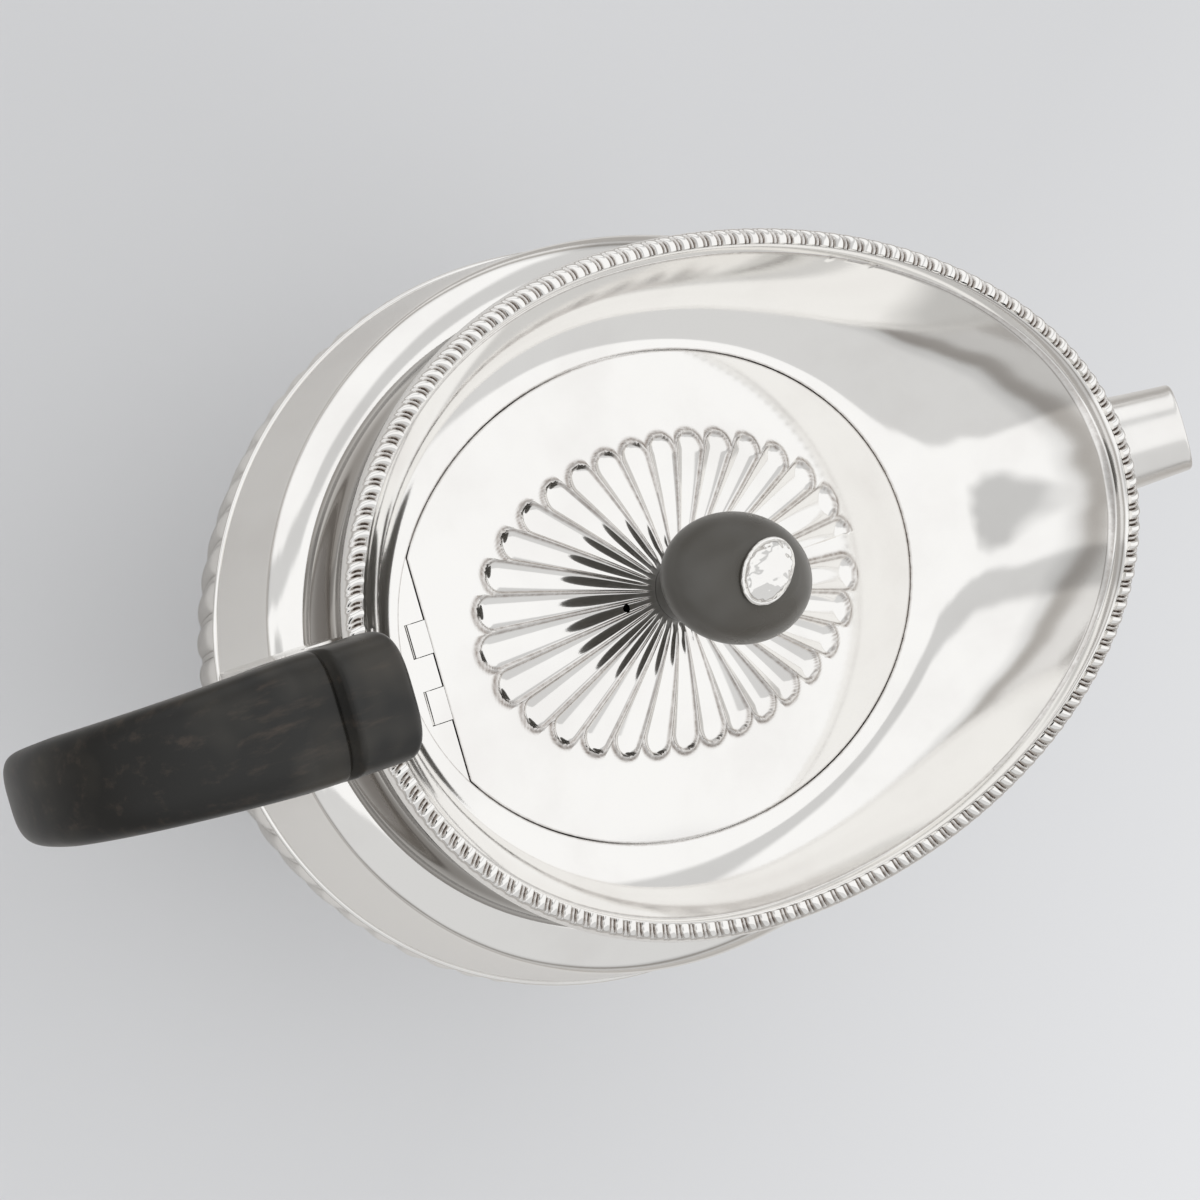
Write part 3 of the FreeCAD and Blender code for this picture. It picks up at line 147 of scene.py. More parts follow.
class TeapotGrip(bpy.types.PropertyGroup):
    """The knob, handle and sockets."""
    knob_length: length("Knob half length", 0.0135, "Half the length of the knob")
    knob_width: length("Knob half width", 0.0100, "Half the width of the knob")
    knob_height: length("Knob half height", 0.0075, "Half the height of the knob")
    knob_z: length("Knob middle", 0.0828, "Height of the knob's middle")
    knob_flat: length("Knob seat", 0.0066, "Seat of the cap above the knob's middle")
    knob_twist: angle("Knob twist", -15, "Turn of the knob seen from above")
    stem_radius: length("Stem", 0.0045, "Foot radius of the knob's stem")
    bore: length("Knob bore", 0.00155, "Radius of the bore for the knob's rod")
    cap_length: length("Cap half length", 0.0061, "Half the length of the cap's flange")
    cap_width: length("Cap half width", 0.0043, "Half the width of the cap's flange")
    cap_flange: length("Cap flange", 0.0008, "Thickness of the cap's flange")
    cap_rim: length("Cap rim", 0.0004, "Width of the flange round the cap's dome")
    cap_rise: length("Cap rise", 0.0020, "Rise of the cap's dome")
    cap_twist: angle("Cap twist", 28, "Turn of the cap seen from above")
    bend_x: length("Bend", -0.0900, "Centre of the handle's bend")
    bend_z: length("Bend height", 0.0598, "Height of the centre of the handle's bend")
    bend_radius: length("Bend radius", 0.0224, "Radius of the handle's centre line")
    thick: length("Handle thickness", 0.0100, "Thickness of the handle at its bend")
    top_width: length("Handle width", 0.0195, "Width of the handle at its thumb scroll")
    bend_width: length("Bend width", 0.0160, "Width of the handle at its bend")
    foot_width: length("Handle foot width", 0.0100, "Width of the handle at its lower end")
    foot_thick: length("Handle foot thickness", 0.0085, "Thickness of the handle at its lower end")
    fullness: share("Handle fullness", 0.6, "Squareness of the handle's section, where 1 is an oval")
    scroll_x: length("Scroll end", -0.0700, "Inner end of the thumb scroll")
    scroll_length: length("Scroll length", 0.0140, "Length of the thumb scroll")
    scroll_thick: length("Scroll thickness", 0.0135, "Thickness of the thumb scroll")
    groove_thick: length("Groove thickness", 0.0110, "Thickness at the groove behind the scroll")
    sleeve_x: length("Sleeve", -0.0800, "Middle of the upper socket's sleeve")
    sleeve_length: length("Sleeve length", 0.0120, "Length of the sleeve along the handle")
    sleeve_width: length("Sleeve width", 0.0187, "Width of the sleeve, a little less than its pin's length")
    arm_drop: length("Arm drop", 0.0080, "Drop from the sleeve's mouth to the top of its arm")
    arm_height: length("Arm height", 0.0085, "Height of the arm that joins the sleeve to the neck")
    socket_x: length("Lower socket", -0.0820, "Outer end of the lower socket")
    socket_rim: length("Lower socket rim", 0.0007, "How far the lower socket stands round the handle")


class TeapotSpout(bpy.types.PropertyGroup):
    """The spout's line and sections."""
    root_x: length("Root", 0.0550, "Start of the spout's line")
    root_z: length("Root height", 0.0300, "Height of the start of the spout's line")
    tip_x: length("Mouth", 0.1030, "Middle of the spout's mouth")
    tip_z: length("Mouth height", 0.0776, "Height of the middle of the spout's mouth")
    root_angle: angle("Root angle", 35, "Rise of the spout at its root")
    tip_angle: angle("Mouth angle", 38, "Rise of the spout at its mouth")
    root_width: length("Root width", 0.0260, "Width of the spout at its root")
    root_height: length("Root depth", 0.0200, "Height of the spout at its root")
    tip_width: length("Mouth width", 0.0138, "Width of the spout's mouth")
    tip_height: length("Mouth depth", 0.0110, "Height of the spout's mouth")
    taper: FloatProperty(name="Taper", description="How soon the spout narrows", default=1.15)
    wall: length("Wall", 0.0012, "Wall of the spout")


class TeapotLooks(bpy.types.PropertyGroup):
    """Colours and finishes."""
    silver: colour("Silver", (0.92, 0.91, 0.89, 1), "Polished silver")
    silver_dull: colour("Dull silver", (0.87, 0.855, 0.835, 1), "Silver where it is a little worn")
    tarnish: colour("Tarnish", (0.15, 0.10, 0.07, 1), "Tarnish left in the recesses")
    # Painted reflection: the dark tone that the neck's hollow curve shows, painted into the neck's colour
    painted_reflection: colour("Stain", (0.17, 0.152, 0.135, 1), "Thin tarnish where the silver is seldom wiped")
    ebony: colour("Wood", (0.010, 0.0098, 0.0088, 1), "Dark wood")
    # Painted sheen: the knob's dark wood painted much lighter than the handle's, in place of the soft
    # highlights on the knob
    ebony_knob_painted_sheen: colour("Knob wood", (0.095, 0.091, 0.083, 1), "Dark wood of the knob")
    # Partly real wear, partly painted sheen: lighter patches in place of the soft highlights on the wood
    ebony_worn_and_sheen: colour("Worn wood", (0.056, 0.050, 0.040, 1), "Dark wood where hands have rubbed it")
    ebony_warm: colour("Warm wood", (0.044, 0.033, 0.025, 1), "Warmer streaks in the dark wood")
    steel: colour("Steel", (0.50, 0.49, 0.47, 1), "Plain metal of hidden fittings")
    steel_dull: colour("Dull steel", (0.40, 0.39, 0.38, 1), "Turning marks in the plain metal")
    floor: colour("Floor", (0.32, 0.323, 0.330, 1), "Floor")
    floor_near: colour("Near floor", (0.64, 0.63, 0.62, 1), "Floor round the pot as the silver shows it")
    floor_far: colour("Far floor", (0.36, 0.34, 0.32, 1), "Floor away from the pot as the silver shows it")


class TeapotStage(bpy.types.PropertyGroup):
    """Camera and light."""
    azimuth: angle("Azimuth", 265.66, "Camera's bearing round the pot")
    elevation: angle("Elevation", 49.3, "Camera's height above the horizon")
    roll: angle("Roll", 77.28, "Turn of the camera about its own line of sight")
    distance: length("Distance", 1.3, "Camera to the point it was fitted to")
    lens: FloatProperty(name="Lens", description="Focal length in millimetres", default=260.0)
    floor_size: length("Floor size", 6.0, "Side of the floor")
    floor_glow: share("Floor glow", 0.93, "Paleness of the floor that no shadow takes away")
    sky: share("Surround", 1.02, "Strength of the soft surround")


GROUPS = {
    "teapot_plan": TeapotPlan,
    "teapot_body": TeapotBody,
    "teapot_top": TeapotTop,
    "teapot_grip": TeapotGrip,
    "teapot_spout": TeapotSpout,
    "teapot_looks": TeapotLooks,
    "teapot_stage": TeapotStage,
}


# Meshes

def new_piece(name, verts, faces, finish, body=None, nodes=(), slot="silver", crease=CREASE):
    """Make a smooth mesh piece, and put it on its body in place of the nodes it stands for."""
    mesh = bpy.data.meshes.new(name)
    mesh.from_pydata(verts.tolist(), [], faces)
    mesh.shade_smooth()
    mesh.set_sharp_from_angle(angle=crease)
    piece = bpy.data.objects.new(name, mesh)
    bpy.context.scene.collection.objects.link(piece)
    mesh.materials.append(finish)
    if body:
        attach(piece, body)
        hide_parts(*nodes)
    return piece


def grid_faces(rows, columns, wrap_rows, wrap_columns):
    """Quads of a grid of points whose rows and columns may close on themselves."""
    index = np.arange(rows * columns).reshape(rows, columns)
    if wrap_rows:
        index = np.vstack([index, index[:1]])
    if wrap_columns:
        index = np.hstack([index, index[:, :1]])
    quads = np.stack([index[:-1, :-1], index[:-1, 1:], index[1:, 1:], index[1:, :-1]], axis=-1)
    return quads.reshape(-1, 4).tolist()


def ring_piece(name, points, finish, body, nodes, **options):
    """A closed ring from points[row, column]: rows go round its section and columns round the ring."""
    rows, columns = points.shape[:2]
    faces = grid_faces(rows, columns, True, True)
    return new_piece(name, points.reshape(-1, 3), faces, finish, body, nodes, **options)


def closed_piece(name, points, finish, body, nodes, **options):
    """A closed bar from points[row, column], with a fan over its first and last rows."""
    rows, columns = points.shape[:2]
    faces = grid_faces(rows, columns, False, True)
    first, last = rows * columns, rows * columns + 1
    end = (rows - 1) * columns
    for column in range(columns):
        after = (column + 1) % columns
        faces.append([first, after, column])
        faces.append([last, end + column, end + after])
    verts = np.vstack([points.reshape(-1, 3), points[0].mean(axis=0), points[-1].mean(axis=0)])
    return new_piece(name, verts, faces, finish, body, nodes, **options)


def set_shade(piece, values, name="recess"):
    """Store how deep each point lies in a recess, where tarnish stays, or how much painted dark reflection
    it takes.
    """
    attribute = piece.data.attributes.new(name, "FLOAT", "POINT")
    attribute.data.foreach_set("value", np.asarray(values, np.float32).ravel())


# Shapes shared by several pieces

def ellipse_turns(count, length_front, length_rear, width):
    """Turns that divide a plan of two half ellipses into stretches of equal length, from the front."""
    fine = np.linspace(0, 2 * math.pi, PLAN_STEPS)
    along = np.where(np.cos(fine) >= 0, length_front, length_rear)
    x, y = along * np.cos(fine), width * np.sin(fine)
    reach = np.concatenate([[0], np.cumsum(np.hypot(np.diff(x), np.diff(y)))])
    return np.interp(np.arange(count) / count * reach[-1], reach, fine)


def plan_points(turns, grow, z, end_grow=None):
    """Points of the rim's plan, grown outwards, at its ends by another amount if one is given."""
    plan = bpy.context.scene.teapot_plan
    end_grow = grow if end_grow is None else end_grow
    turns, grow, end_grow, z = np.broadcast_arrays(np.asarray(turns, float), grow, end_grow, z)
    along = np.where(np.cos(turns) >= 0, plan.rim_front, plan.rim_rear) + end_grow
    return np.stack([along * np.cos(turns), (plan.rim_half_width + grow) * np.sin(turns), z], axis=-1)


def plan_turns(count):
    plan = bpy.context.scene.teapot_plan
    return ellipse_turns(count, plan.rim_front, plan.rim_rear, plan.rim_half_width)


def rim_heights(turns):
    """Height of the rim at each turn: a parabola through its three given heights."""
    plan = bpy.context.scene.teapot_plan
    x = plan_points(turns, 0, 0)[..., 0]
    rise_front = (plan.rim_front_z - plan.rim_mid_z) / plan.rim_front
    rise_rear = (plan.rim_rear_z - plan.rim_mid_z) / plan.rim_rear
    bend = (rise_front + rise_rear) / (plan.rim_front + plan.rim_rear)
    slope = rise_front - bend * plan.rim_front
    return plan.rim_mid_z + slope * x + bend * x * x


def neck_insets(turns):
    """How far the neck's root is inside the rim, towards either end of the pot."""
    body = bpy.context.scene.teapot_body
    return np.where(np.cos(turns) >= 0, body.neck_inset, body.neck_rear_inset)


def bowl_level(step):
    """The bowl after a share of its side's turn: growth of its sides and of its ends, height and wall."""
    body, sheet = bpy.context.scene.teapot_body, bpy.context.scene.teapot_plan.sheet
    turned = body.lean + step * (body.turn - body.lean)
    across, fall = math.cos(body.lean) - math.cos(body.turn), math.sin(body.turn) - math.sin(body.lean)
    drawn = (math.cos(body.lean) - np.cos(turned)) / across
    fallen = (np.sin(turned) - math.sin(body.lean)) / fall
    side_run, end_run = body.band_proud + body.inset, body.band_proud + body.end_inset
    height = body.ridge_z - body.foot_height
    wall = sheet * np.hypot(1, end_run / across / (height / fall) * np.tan(turned))
    side, end = body.band_proud - drawn * side_run, body.band_proud - drawn * end_run
    return side, end, body.ridge_z - fallen * height, wall


def pot_growth(z):
    """Growth of the pot's side from the rim's plan at a height, for its sides and for its ends."""
    body = bpy.context.scene.teapot_body
    side, end, heights, _ = bowl_level(np.linspace(1, 0, 200))
    rolled = np.arcsin(np.clip((z - body.shoulder_z) / (body.neck_root_z - body.shoulder_z), 0, 1))
    roll = (body.band_proud + body.neck_inset) * (1 - np.cos(rolled))
    return np.interp(z, heights, side) - roll, np.interp(z, heights, end) - roll


def inside_pot(points, sink):
    """Whether points lie deeper than a given amount inside the pot's side."""
    plan = bpy.context.scene.teapot_plan
    side, end = pot_growth(points[..., 2])
    along = np.where(points[..., 0] >= 0, plan.rim_front, plan.rim_rear) + end - sink
    across = plan.rim_half_width + side - sink
    return (points[..., 0] / along) ** 2 + (points[..., 1] / across) ** 2 < 1


def soft_loop(middle, across, thick, width, fullness, count):
    """A rounded section across a line in the XZ plane."""
    turns = np.linspace(0, 2 * math.pi, count, endpoint=False)
    lean_c = np.sign(np.cos(turns)) * np.abs(np.cos(turns)) ** fullness
    lean_s = np.sign(np.sin(turns)) * np.abs(np.sin(turns)) ** fullness
    points = middle + np.outer(lean_c * thick / 2, across)
    points[:, 1] += lean_s * width / 2
    return points


def smooth(value):
    """An even rise from 0 to 1 that starts and ends level."""
    value = np.clip(value, 0, 1)
    return value * value * (3 - 2 * value)


def bore(piece, places, axis, reach, radius):
    """Cut a round hole through a piece from each place, along an axis."""
    count = 24
    turns = np.linspace(0, 2 * math.pi, count, endpoint=False)
    circle = np.stack([radius * np.cos(turns), radius * np.sin(turns), np.zeros(count)], axis=-1)
    circle = circle @ np.array(Vector((0, 0, 1)).rotation_difference(axis).to_matrix()).T
    verts, faces = [], []
    for place in places:
        start = len(verts)
        verts += (circle + place).tolist() + (circle + place + np.array(axis) * reach).tolist()
        near, far = [start + k for k in range(count)], [start + count + k for k in range(count)]
        faces += [[near[k - 1], near[k], far[k], far[k - 1]] for k in range(count)] + [near[::-1], far]
    mesh = bpy.data.meshes.new("cutter")
    mesh.from_pydata(verts, [], faces)
    cutter = bpy.data.objects.new("cutter", mesh)
    bpy.context.scene.collection.objects.link(cutter)
    boring = piece.modifiers.new("bore", "BOOLEAN")
    boring.object = cutter
    boring.solver = "EXACT"
    bpy.context.view_layer.objects.active = piece
    bpy.ops.object.modifier_apply(modifier=boring.name)
    bpy.data.objects.remove(cutter)
    bpy.data.meshes.remove(mesh)


# Materials

def add_node(tree, kind, place, **values):
    """Add a node, and set the inputs or settings that are given by name."""
    node = tree.nodes.new(kind)
    node.location = place
    for name, value in values.items():
        if name in node.inputs:
            node.inputs[name].default_value = value
        else:
            setattr(node, name, value)
    return node


def new_material(name):
    """A new material with its nodes and its surface shader."""
    finish = bpy.data.materials.new(name)
    finish.use_nodes = True
    tree = finish.node_tree
    return finish, tree, tree.nodes["Principled BSDF"]


def feed(tree, value, socket):
    """Give a socket a link where the value is another socket, or else the value itself."""
    if hasattr(value, "links"):
        tree.links.new(value, socket)
    else:
        socket.default_value = value


def maths(tree, place, operation, *values):
    """A maths node on numbers or sockets."""
    node = add_node(tree, "ShaderNodeMath", place, operation=operation)
    for value, socket in zip(values, node.inputs):
        feed(tree, value, socket)
    return node.outputs["Value"]


def noise(tree, place, coords, scale, detail, roughness=0.55):
    node = add_node(tree, "ShaderNodeTexNoise", place, Scale=scale, Detail=detail, Roughness=roughness)
    tree.links.new(coords, node.inputs["Vector"])
    return node.outputs["Fac"]


def stretched(tree, place, coords, scale, rotation=(0, 0, 0)):
    """Coordinates stretched along their axes."""
    node = add_node(tree, "ShaderNodeMapping", place, Scale=scale, Rotation=rotation)
    tree.links.new(coords, node.inputs["Vector"])
    return node.outputs["Vector"]


def bumped(tree, place, height, strength, distance, normal=None):
    """A bumped normal, over another one if it is given."""
    node = add_node(tree, "ShaderNodeBump", place, Strength=strength, Distance=distance)
    tree.links.new(height, node.inputs["Height"])
    if normal:
        tree.links.new(normal, node.inputs["Normal"])
    return node.outputs["Normal"]


def reach_along(tree, place, coords, direction):
    """How far the coordinates lie along a direction."""
    node = add_node(tree, "ShaderNodeVectorMath", place, operation="DOT_PRODUCT")
    node.inputs[1].default_value = direction
    tree.links.new(coords, node.inputs[0])
    return node.outputs["Value"]


def ramp(tree, place, source, stops):
    """A colour ramp whose stops are (position, colour)."""
    node = add_node(tree, "ShaderNodeValToRGB", place)
    elements = node.color_ramp.elements
    for element, (position, tint) in zip((elements[0], elements[1]), (stops[0], stops[-1])):
        element.position = position
        element.color = tint
    for position, tint in stops[1:-1]:
        element = elements.new(position)
        element.color = tint
    node.color_ramp.interpolation = "EASE"
    tree.links.new(source, node.inputs["Fac"])
    return node.outputs["Color"]


def spread(tree, place, source, low, high, start=0.0, end=1.0):
    """The source's range from start to end, mapped to low and high."""
    sizes = {"From Min": start, "From Max": end, "To Min": low, "To Max": high}
    node = add_node(tree, "ShaderNodeMapRange", place, **sizes)
    tree.links.new(source, node.inputs["Value"])
    return node.outputs["Result"]


def mix_colour(tree, place, factor, first, second):
    """A mix of two colours, whose sockets come after the node's own ones for numbers and vectors."""
    node = add_node(tree, "ShaderNodeMix", place, data_type="RGBA")
    tree.links.new(factor, node.inputs["Factor"])
    feed(tree, first, node.inputs[6])
    feed(tree, second, node.inputs[7])
    return node.outputs[2]


def silver_material(name, rough_low, rough_high, scratch, wave_scale=55, wave_height=0.00005):
    """Polished silver with worn patches, slight waves, fine wiping marks, tarnish, and a painted dark
    reflection on pieces that store it.
    """
    looks = bpy.context.scene.teapot_looks
    _, tree, shader = new_material(name)
    coords = add_node(tree, "ShaderNodeTexCoord", (-1500, 0)).outputs["Object"]
    patches = noise(tree, (-1200, 300), coords, scale=46, detail=5)
    worn = ramp(tree, (-900, 300), patches, ((0.42, tuple(looks.silver)), (0.72, tuple(looks.silver_dull))))
    specks = noise(tree, (-1200, 20), coords, scale=900, detail=4, roughness=0.7)
    recess = add_node(tree, "ShaderNodeAttribute", (-1200, -180), attribute_name="recess").outputs["Fac"]
    speckled = spread(tree, (-1050, 20), specks, 0.45, 1.15, start=0.3, end=0.7)
    dirt = maths(tree, (-900, -100), "MULTIPLY", recess, speckled)
    tinted = mix_colour(tree, (-600, 200), dirt, worn, tuple(looks.tarnish))
    # Painted reflection: a dark tone mixed in where a piece stores it, which the neck does
    painted_reflection = add_node(tree, "ShaderNodeAttribute", (-600, 420), attribute_name="painted_reflection").outputs["Fac"]
    tinted = mix_colour(tree, (-300, 300), painted_reflection, tinted, tuple(looks.painted_reflection))
    tree.links.new(tinted, shader.inputs["Base Color"])
    gloss = noise(tree, (-1200, -420), coords, scale=70, detail=6)
    polish = spread(tree, (-900, -420), gloss, rough_low, rough_high, start=0.35, end=0.65)
    rough = maths(tree, (-300, -250), "MULTIPLY_ADD", dirt, 0.35, polish)
    tree.links.new(rough, shader.inputs["Roughness"])
    along = stretched(tree, (-1350, -680), coords, (1, 14, 6), (0, 0, math.radians(35)))
    wiping = noise(tree, (-1050, -680), along, scale=420, detail=5, roughness=0.75)
    hammered = noise(tree, (-1050, -950), coords, scale=wave_scale, detail=1)
    waves = bumped(tree, (-600, -900), hammered, strength=1.0, distance=wave_height)
    normal = bumped(tree, (-300, -600), wiping, strength=scratch, distance=0.00002, normal=waves)
    tree.links.new(normal, shader.inputs["Normal"])
    shader.inputs["Metallic"].default_value = 1.0


def wood_material(name, wood, warm, worn):
    """Dark close-grained wood with a soft sheen, a few warm streaks, and lighter patches that are partly
    rubbed wear and partly painted sheen.
    """
    _, tree, shader = new_material(name)
    coords = add_node(tree, "ShaderNodeTexCoord", (-1300, 0)).outputs["Object"]
    along = stretched(tree, (-1100, 0), coords, (1, 5, 5))
    grain = noise(tree, (-850, 200), along, scale=90, detail=8, roughness=0.6)
    tone = ramp(tree, (-550, 200), grain, ((0.5, tuple(wood)), (0.8, tuple(warm))))
    wear_and_sheen = noise(tree, (-850, -150), coords, scale=40, detail=3)
    # Lighter patches, partly rubbed wear and partly painted sheen
    rubbed = spread(tree, (-550, 0), wear_and_sheen, 0, 0.8, start=0.47, end=0.66)
    tinted = mix_colour(tree, (-300, 200), rubbed, tone, tuple(worn))
    tree.links.new(tinted, shader.inputs["Base Color"])
    rough = spread(tree, (-550, -150), wear_and_sheen, 0.40, 0.26, start=0.35, end=0.65)
    tree.links.new(rough, shader.inputs["Roughness"])
    pores = noise(tree, (-850, -400), along, scale=700, detail=3, roughness=0.6)
    normal = bumped(tree, (-300, -350), pores, strength=0.12, distance=0.0001)
    tree.links.new(normal, shader.inputs["Normal"])
    shader.inputs["Specular IOR Level"].default_value = 0.4


def steel_material(name):
    """Plain turned metal of the hidden fittings."""
    looks = bpy.context.scene.teapot_looks
    _, tree, shader = new_material(name)
    coords = add_node(tree, "ShaderNodeTexCoord", (-1000, 0)).outputs["Object"]
    along = stretched(tree, (-800, 0), coords, (1, 1, 12))
    marks = noise(tree, (-600, 0), along, scale=500, detail=5)
    tone = ramp(tree, (-300, 150), marks, ((0.3, tuple(looks.steel_dull)), (0.7, tuple(looks.steel))))
    tree.links.new(tone, shader.inputs["Base Color"])
    tree.links.new(spread(tree, (-300, -150), marks, 0.22, 0.4), shader.inputs["Roughness"])
    shader.inputs["Metallic"].default_value = 1.0


def material(name):
    return bpy.data.materials[name]


# Operators

class TEAPOT_OT_materials(bpy.types.Operator):
    """Make the silver, wood and steel"""
    bl_idname = "teapot.materials"
    bl_label = "Materials"

    # Lowest and highest roughness and strength of the wiping marks, and waves other than the usual ones
    silvers = {
        "silver_polished": (0.045, 0.085, 0.10),
        "silver_worn": (0.17, 0.27, 0.16),
        "silver_inside": (0.22, 0.38, 0.25),
        "silver_pitted": (0.05, 0.12, 0.16, 480, 0.0006),
    }

    def execute(self, context):
        looks = context.scene.teapot_looks
        for name, values in self.silvers.items():
            silver_material(name, *values)
        wood_material("ebony_handle", looks.ebony, looks.ebony_warm, looks.ebony_worn_and_sheen)
        # The knob takes a lighter copy of the dark wood, a painted sheen
        wood_material("ebony_knob_painted_sheen", looks.ebony_knob_painted_sheen, looks.ebony_knob_painted_sheen, looks.ebony_worn_and_sheen)
        steel_material("steel_turned")
        return {"FINISHED"}


class TEAPOT_OT_body(bpy.types.Operator):
    """Build the half-fluted bowl with its ridge, band and shoulder, and bore its strainer"""
    bl_idname = "teapot.body"
    bl_label = "Body"

    points_per_lobe = 24
    bowl_rows = 44
    inner_rows = 14
    # Power that crowds the bowl's rows towards the ridge
    crowding = 1.5
    # Height of the thin rib beside a lobe, in lobes
    rib_height = 0.4
    # Share of the bowl's turn from the ridge, and share of the lobes' depth there
    lobe_fade = (0, 0.3, 0.46, 0.62, 0.81, 1), (1, 1, 0.95, 0.83, 0.62, 0.35)
    # Shares of the bowl's turn over which the lobes, and the tarnish in their grooves, begin
    lobe_start = 0.07
    tarnish_start = 0.03
    # Strength of the tarnish in a groove, how fast it ends up the groove's side, and strength inside
    groove_tarnish = 0.8
    groove_fade = 3.2
    inside_tarnish = 0.25
    # The band starts this many bead heights above the bead's foot, and ends this far below the shoulder
    band_start = 1.1
    band_end = 0.0001
    band_rows = 5
    shoulder_edge = math.radians(14)
    shoulder_rows = 14
    shoulder_power = 1.35

    def lobe_height(self, phase):
        """Height of the fluting across one lobe and the thin rib beside it, from 0 to 1."""
        edge = np.abs(2 * phase - 1)
        share_taken = bpy.context.scene.teapot_body.lobe_share
        lobe = np.sqrt(np.clip(1 - (edge / share_taken) ** 2, 0, 1))
        rib_place = (1 - edge) / (1 - share_taken)
        rib = self.rib_height * np.sqrt(np.clip(1 - rib_place ** 2, 0, 1))
        return np.maximum(lobe, rib)

    def bowl(self, body, turns):
        """Rows of the bowl from its foot to the ridge, and how deep each point lies in a groove."""
        flutes = self.lobe_height(np.arange(len(turns)) / self.points_per_lobe % 1)
        grooves = np.clip(1 - self.groove_fade * flutes, 0, 1) * self.groove_tarnish
        rows, recess = [], []
        for step in np.linspace(1, 0, self.bowl_rows) ** self.crowding:
            side, end, z, _ = bowl_level(step)
            near = min(1, step / self.lobe_start)
            depth = body.lobe_depth * np.interp(step, *self.lobe_fade) * math.sqrt(near * (2 - near))
            side, end = np.minimum((side + depth * flutes, end + depth * flutes), body.band_proud)
            rows.append(plan_points(turns, side, z, end))
            recess.append(grooves * min(1, step / self.tarnish_start))
        return rows, recess

    def band(self, body, turns):
        """Rows of the ridge bead and of the plain band above it."""
        rows = []
        middle = body.ridge_z + body.ridge_height / 2
        for turn in np.radians((-90, -60, -30, 0, 30, 60, 90)):
            grow = body.band_proud + body.ridge_proud * math.cos(turn)
            rows.append(plan_points(turns, grow, middle + body.ridge_height / 2 * math.sin(turn)))
        low = body.ridge_z + body.ridge_height * self.band_start
        heights = np.linspace(low, body.shoulder_z - self.band_end, self.band_rows)
        return rows + [plan_points(turns, body.band_proud, z) for z in heights]

    def shoulder(self, body, turns):
        """Rows of the rolled shoulder up to the neck's root."""
        rows = []
        rise = body.neck_root_z - body.shoulder_z
        reach = body.band_proud + body.neck_inset
        end_reach = body.band_proud + neck_insets(turns)
        low = math.sin(self.shoulder_edge) ** self.shoulder_power
        for turn in np.linspace(self.shoulder_edge, math.pi / 2, self.shoulder_rows):
            inward = 1 - (math.cos(turn) / math.cos(self.shoulder_edge)) ** self.shoulder_power
            upward = (math.sin(turn) ** self.shoulder_power - low) / (1 - low)
            rows.append(plan_points(turns, body.band_proud - reach * inward, body.shoulder_z + rise * upward,
                                    body.band_proud - end_reach * inward))
        return rows

    def inside(self, body, wall, turns):
        """Rows of the inside from the neck's root down to the foot."""
        rows = []
        for z in (body.neck_root_z, body.neck_root_z - wall):
            rows.append(plan_points(turns, -body.neck_inset - wall, z, -neck_insets(turns) - wall))
        rows.append(plan_points(turns, body.band_proud - wall, body.shoulder_z - wall))
        for step in np.linspace(0, 1, self.inner_rows):
            side, end, z, wall = bowl_level(step)
            rows.append(plan_points(turns, side - wall, z, end - wall))
        return rows

    def execute(self, context):
        body, plan = context.scene.teapot_body, context.scene.teapot_plan
        columns = body.lobes * self.points_per_lobe
        turns = ellipse_turns(columns, plan.rim_front + body.band_proud, plan.rim_rear + body.band_proud,
                              plan.rim_half_width + body.band_proud)
        rows, recess = self.bowl(body, turns)
        rows += self.band(body, turns) + self.shoulder(body, turns)
        outer_rows = len(rows)
        points = np.array(rows + self.inside(body, plan.sheet, turns))
        piece = ring_piece("body", points, material("silver_polished"), "pot", ["body_shell"])
        shade = np.zeros(points.shape[:2])
        shade[:len(recess)] = recess
        shade[outer_rows:] = self.inside_tarnish
        set_shade(piece, shade)
        self.bore_strainer(body, plan, piece)
        return {"FINISHED"}

    def bore_strainer(self, body, plan, piece):
        """Cut the strainer's holes through the wall behind the spout."""
        start = plan.rim_front - body.end_inset
        places = []
        for row in range(1 - body.strainer_rows, body.strainer_rows):
            holes = 2 * body.strainer_rows - 1 - abs(row)
            z = body.strainer_z + row * body.strainer_pitch * math.sqrt(3) / 2
            for place in range(holes):
                places.append((start, (place - (holes - 1) / 2) * body.strainer_pitch, z))
        reach = body.end_inset + 2 * body.band_proud
        bore(piece, np.array(places), Vector((1, 0, 0)), reach, body.strainer_radius)


class TEAPOT_OT_foot(bpy.types.Operator):
    """Build the low oval foot"""
    bl_idname = "teapot.foot"
    bl_label = "Foot"

    # Heights of the upright edge, of the step over it, and of the collar under the bowl
    edge_height = 0.0009
    step_height = 0.0013
    collar_height = 0.0004
    # Shares of the foot's flare at the step and where its hollow starts, and how far the hollow draws in
    step_flare = 0.8
    hollow_flare = 0.7
    hollow_draw = 0.45
    hollow_rows = 9

    def execute(self, context):
        body, plan = context.scene.teapot_body, context.scene.teapot_plan
        half_length = (plan.rim_front + plan.rim_rear) / 2 - body.end_inset
        half_width = plan.rim_half_width - body.inset
        middle = (plan.rim_front - plan.rim_rear) / 2
        flare, height = body.foot_flare, body.foot_height
        profile = [(flare, 0), (flare, self.edge_height), (flare * self.step_flare, self.step_height)]
        rise = height - self.step_height - self.collar_height
        for step in np.linspace(0, 1, self.hollow_rows):
            drawn = self.hollow_draw * math.sin(step * math.pi / 2)
            profile.append((flare * (self.hollow_flare - drawn), self.step_height + rise * step))
        profile += [(flare / 3, height - self.collar_height / 2), (flare / 3, height)]
        profile += [(-body.foot_ring, height), (flare - body.foot_ring, 0)]
        turns = np.linspace(0, 2 * math.pi, RING, endpoint=False)
        rows = []
        for grow, z in profile:
            x = middle + (half_length + grow) * np.cos(turns)
            y = (half_width + grow) * np.sin(turns)
            rows.append(np.stack([x, y, np.full_like(x, z)], axis=-1))
        ring_piece("foot", np.array(rows), material("silver_worn"), "pot", ["foot_rim"])
        return {"FINISHED"}


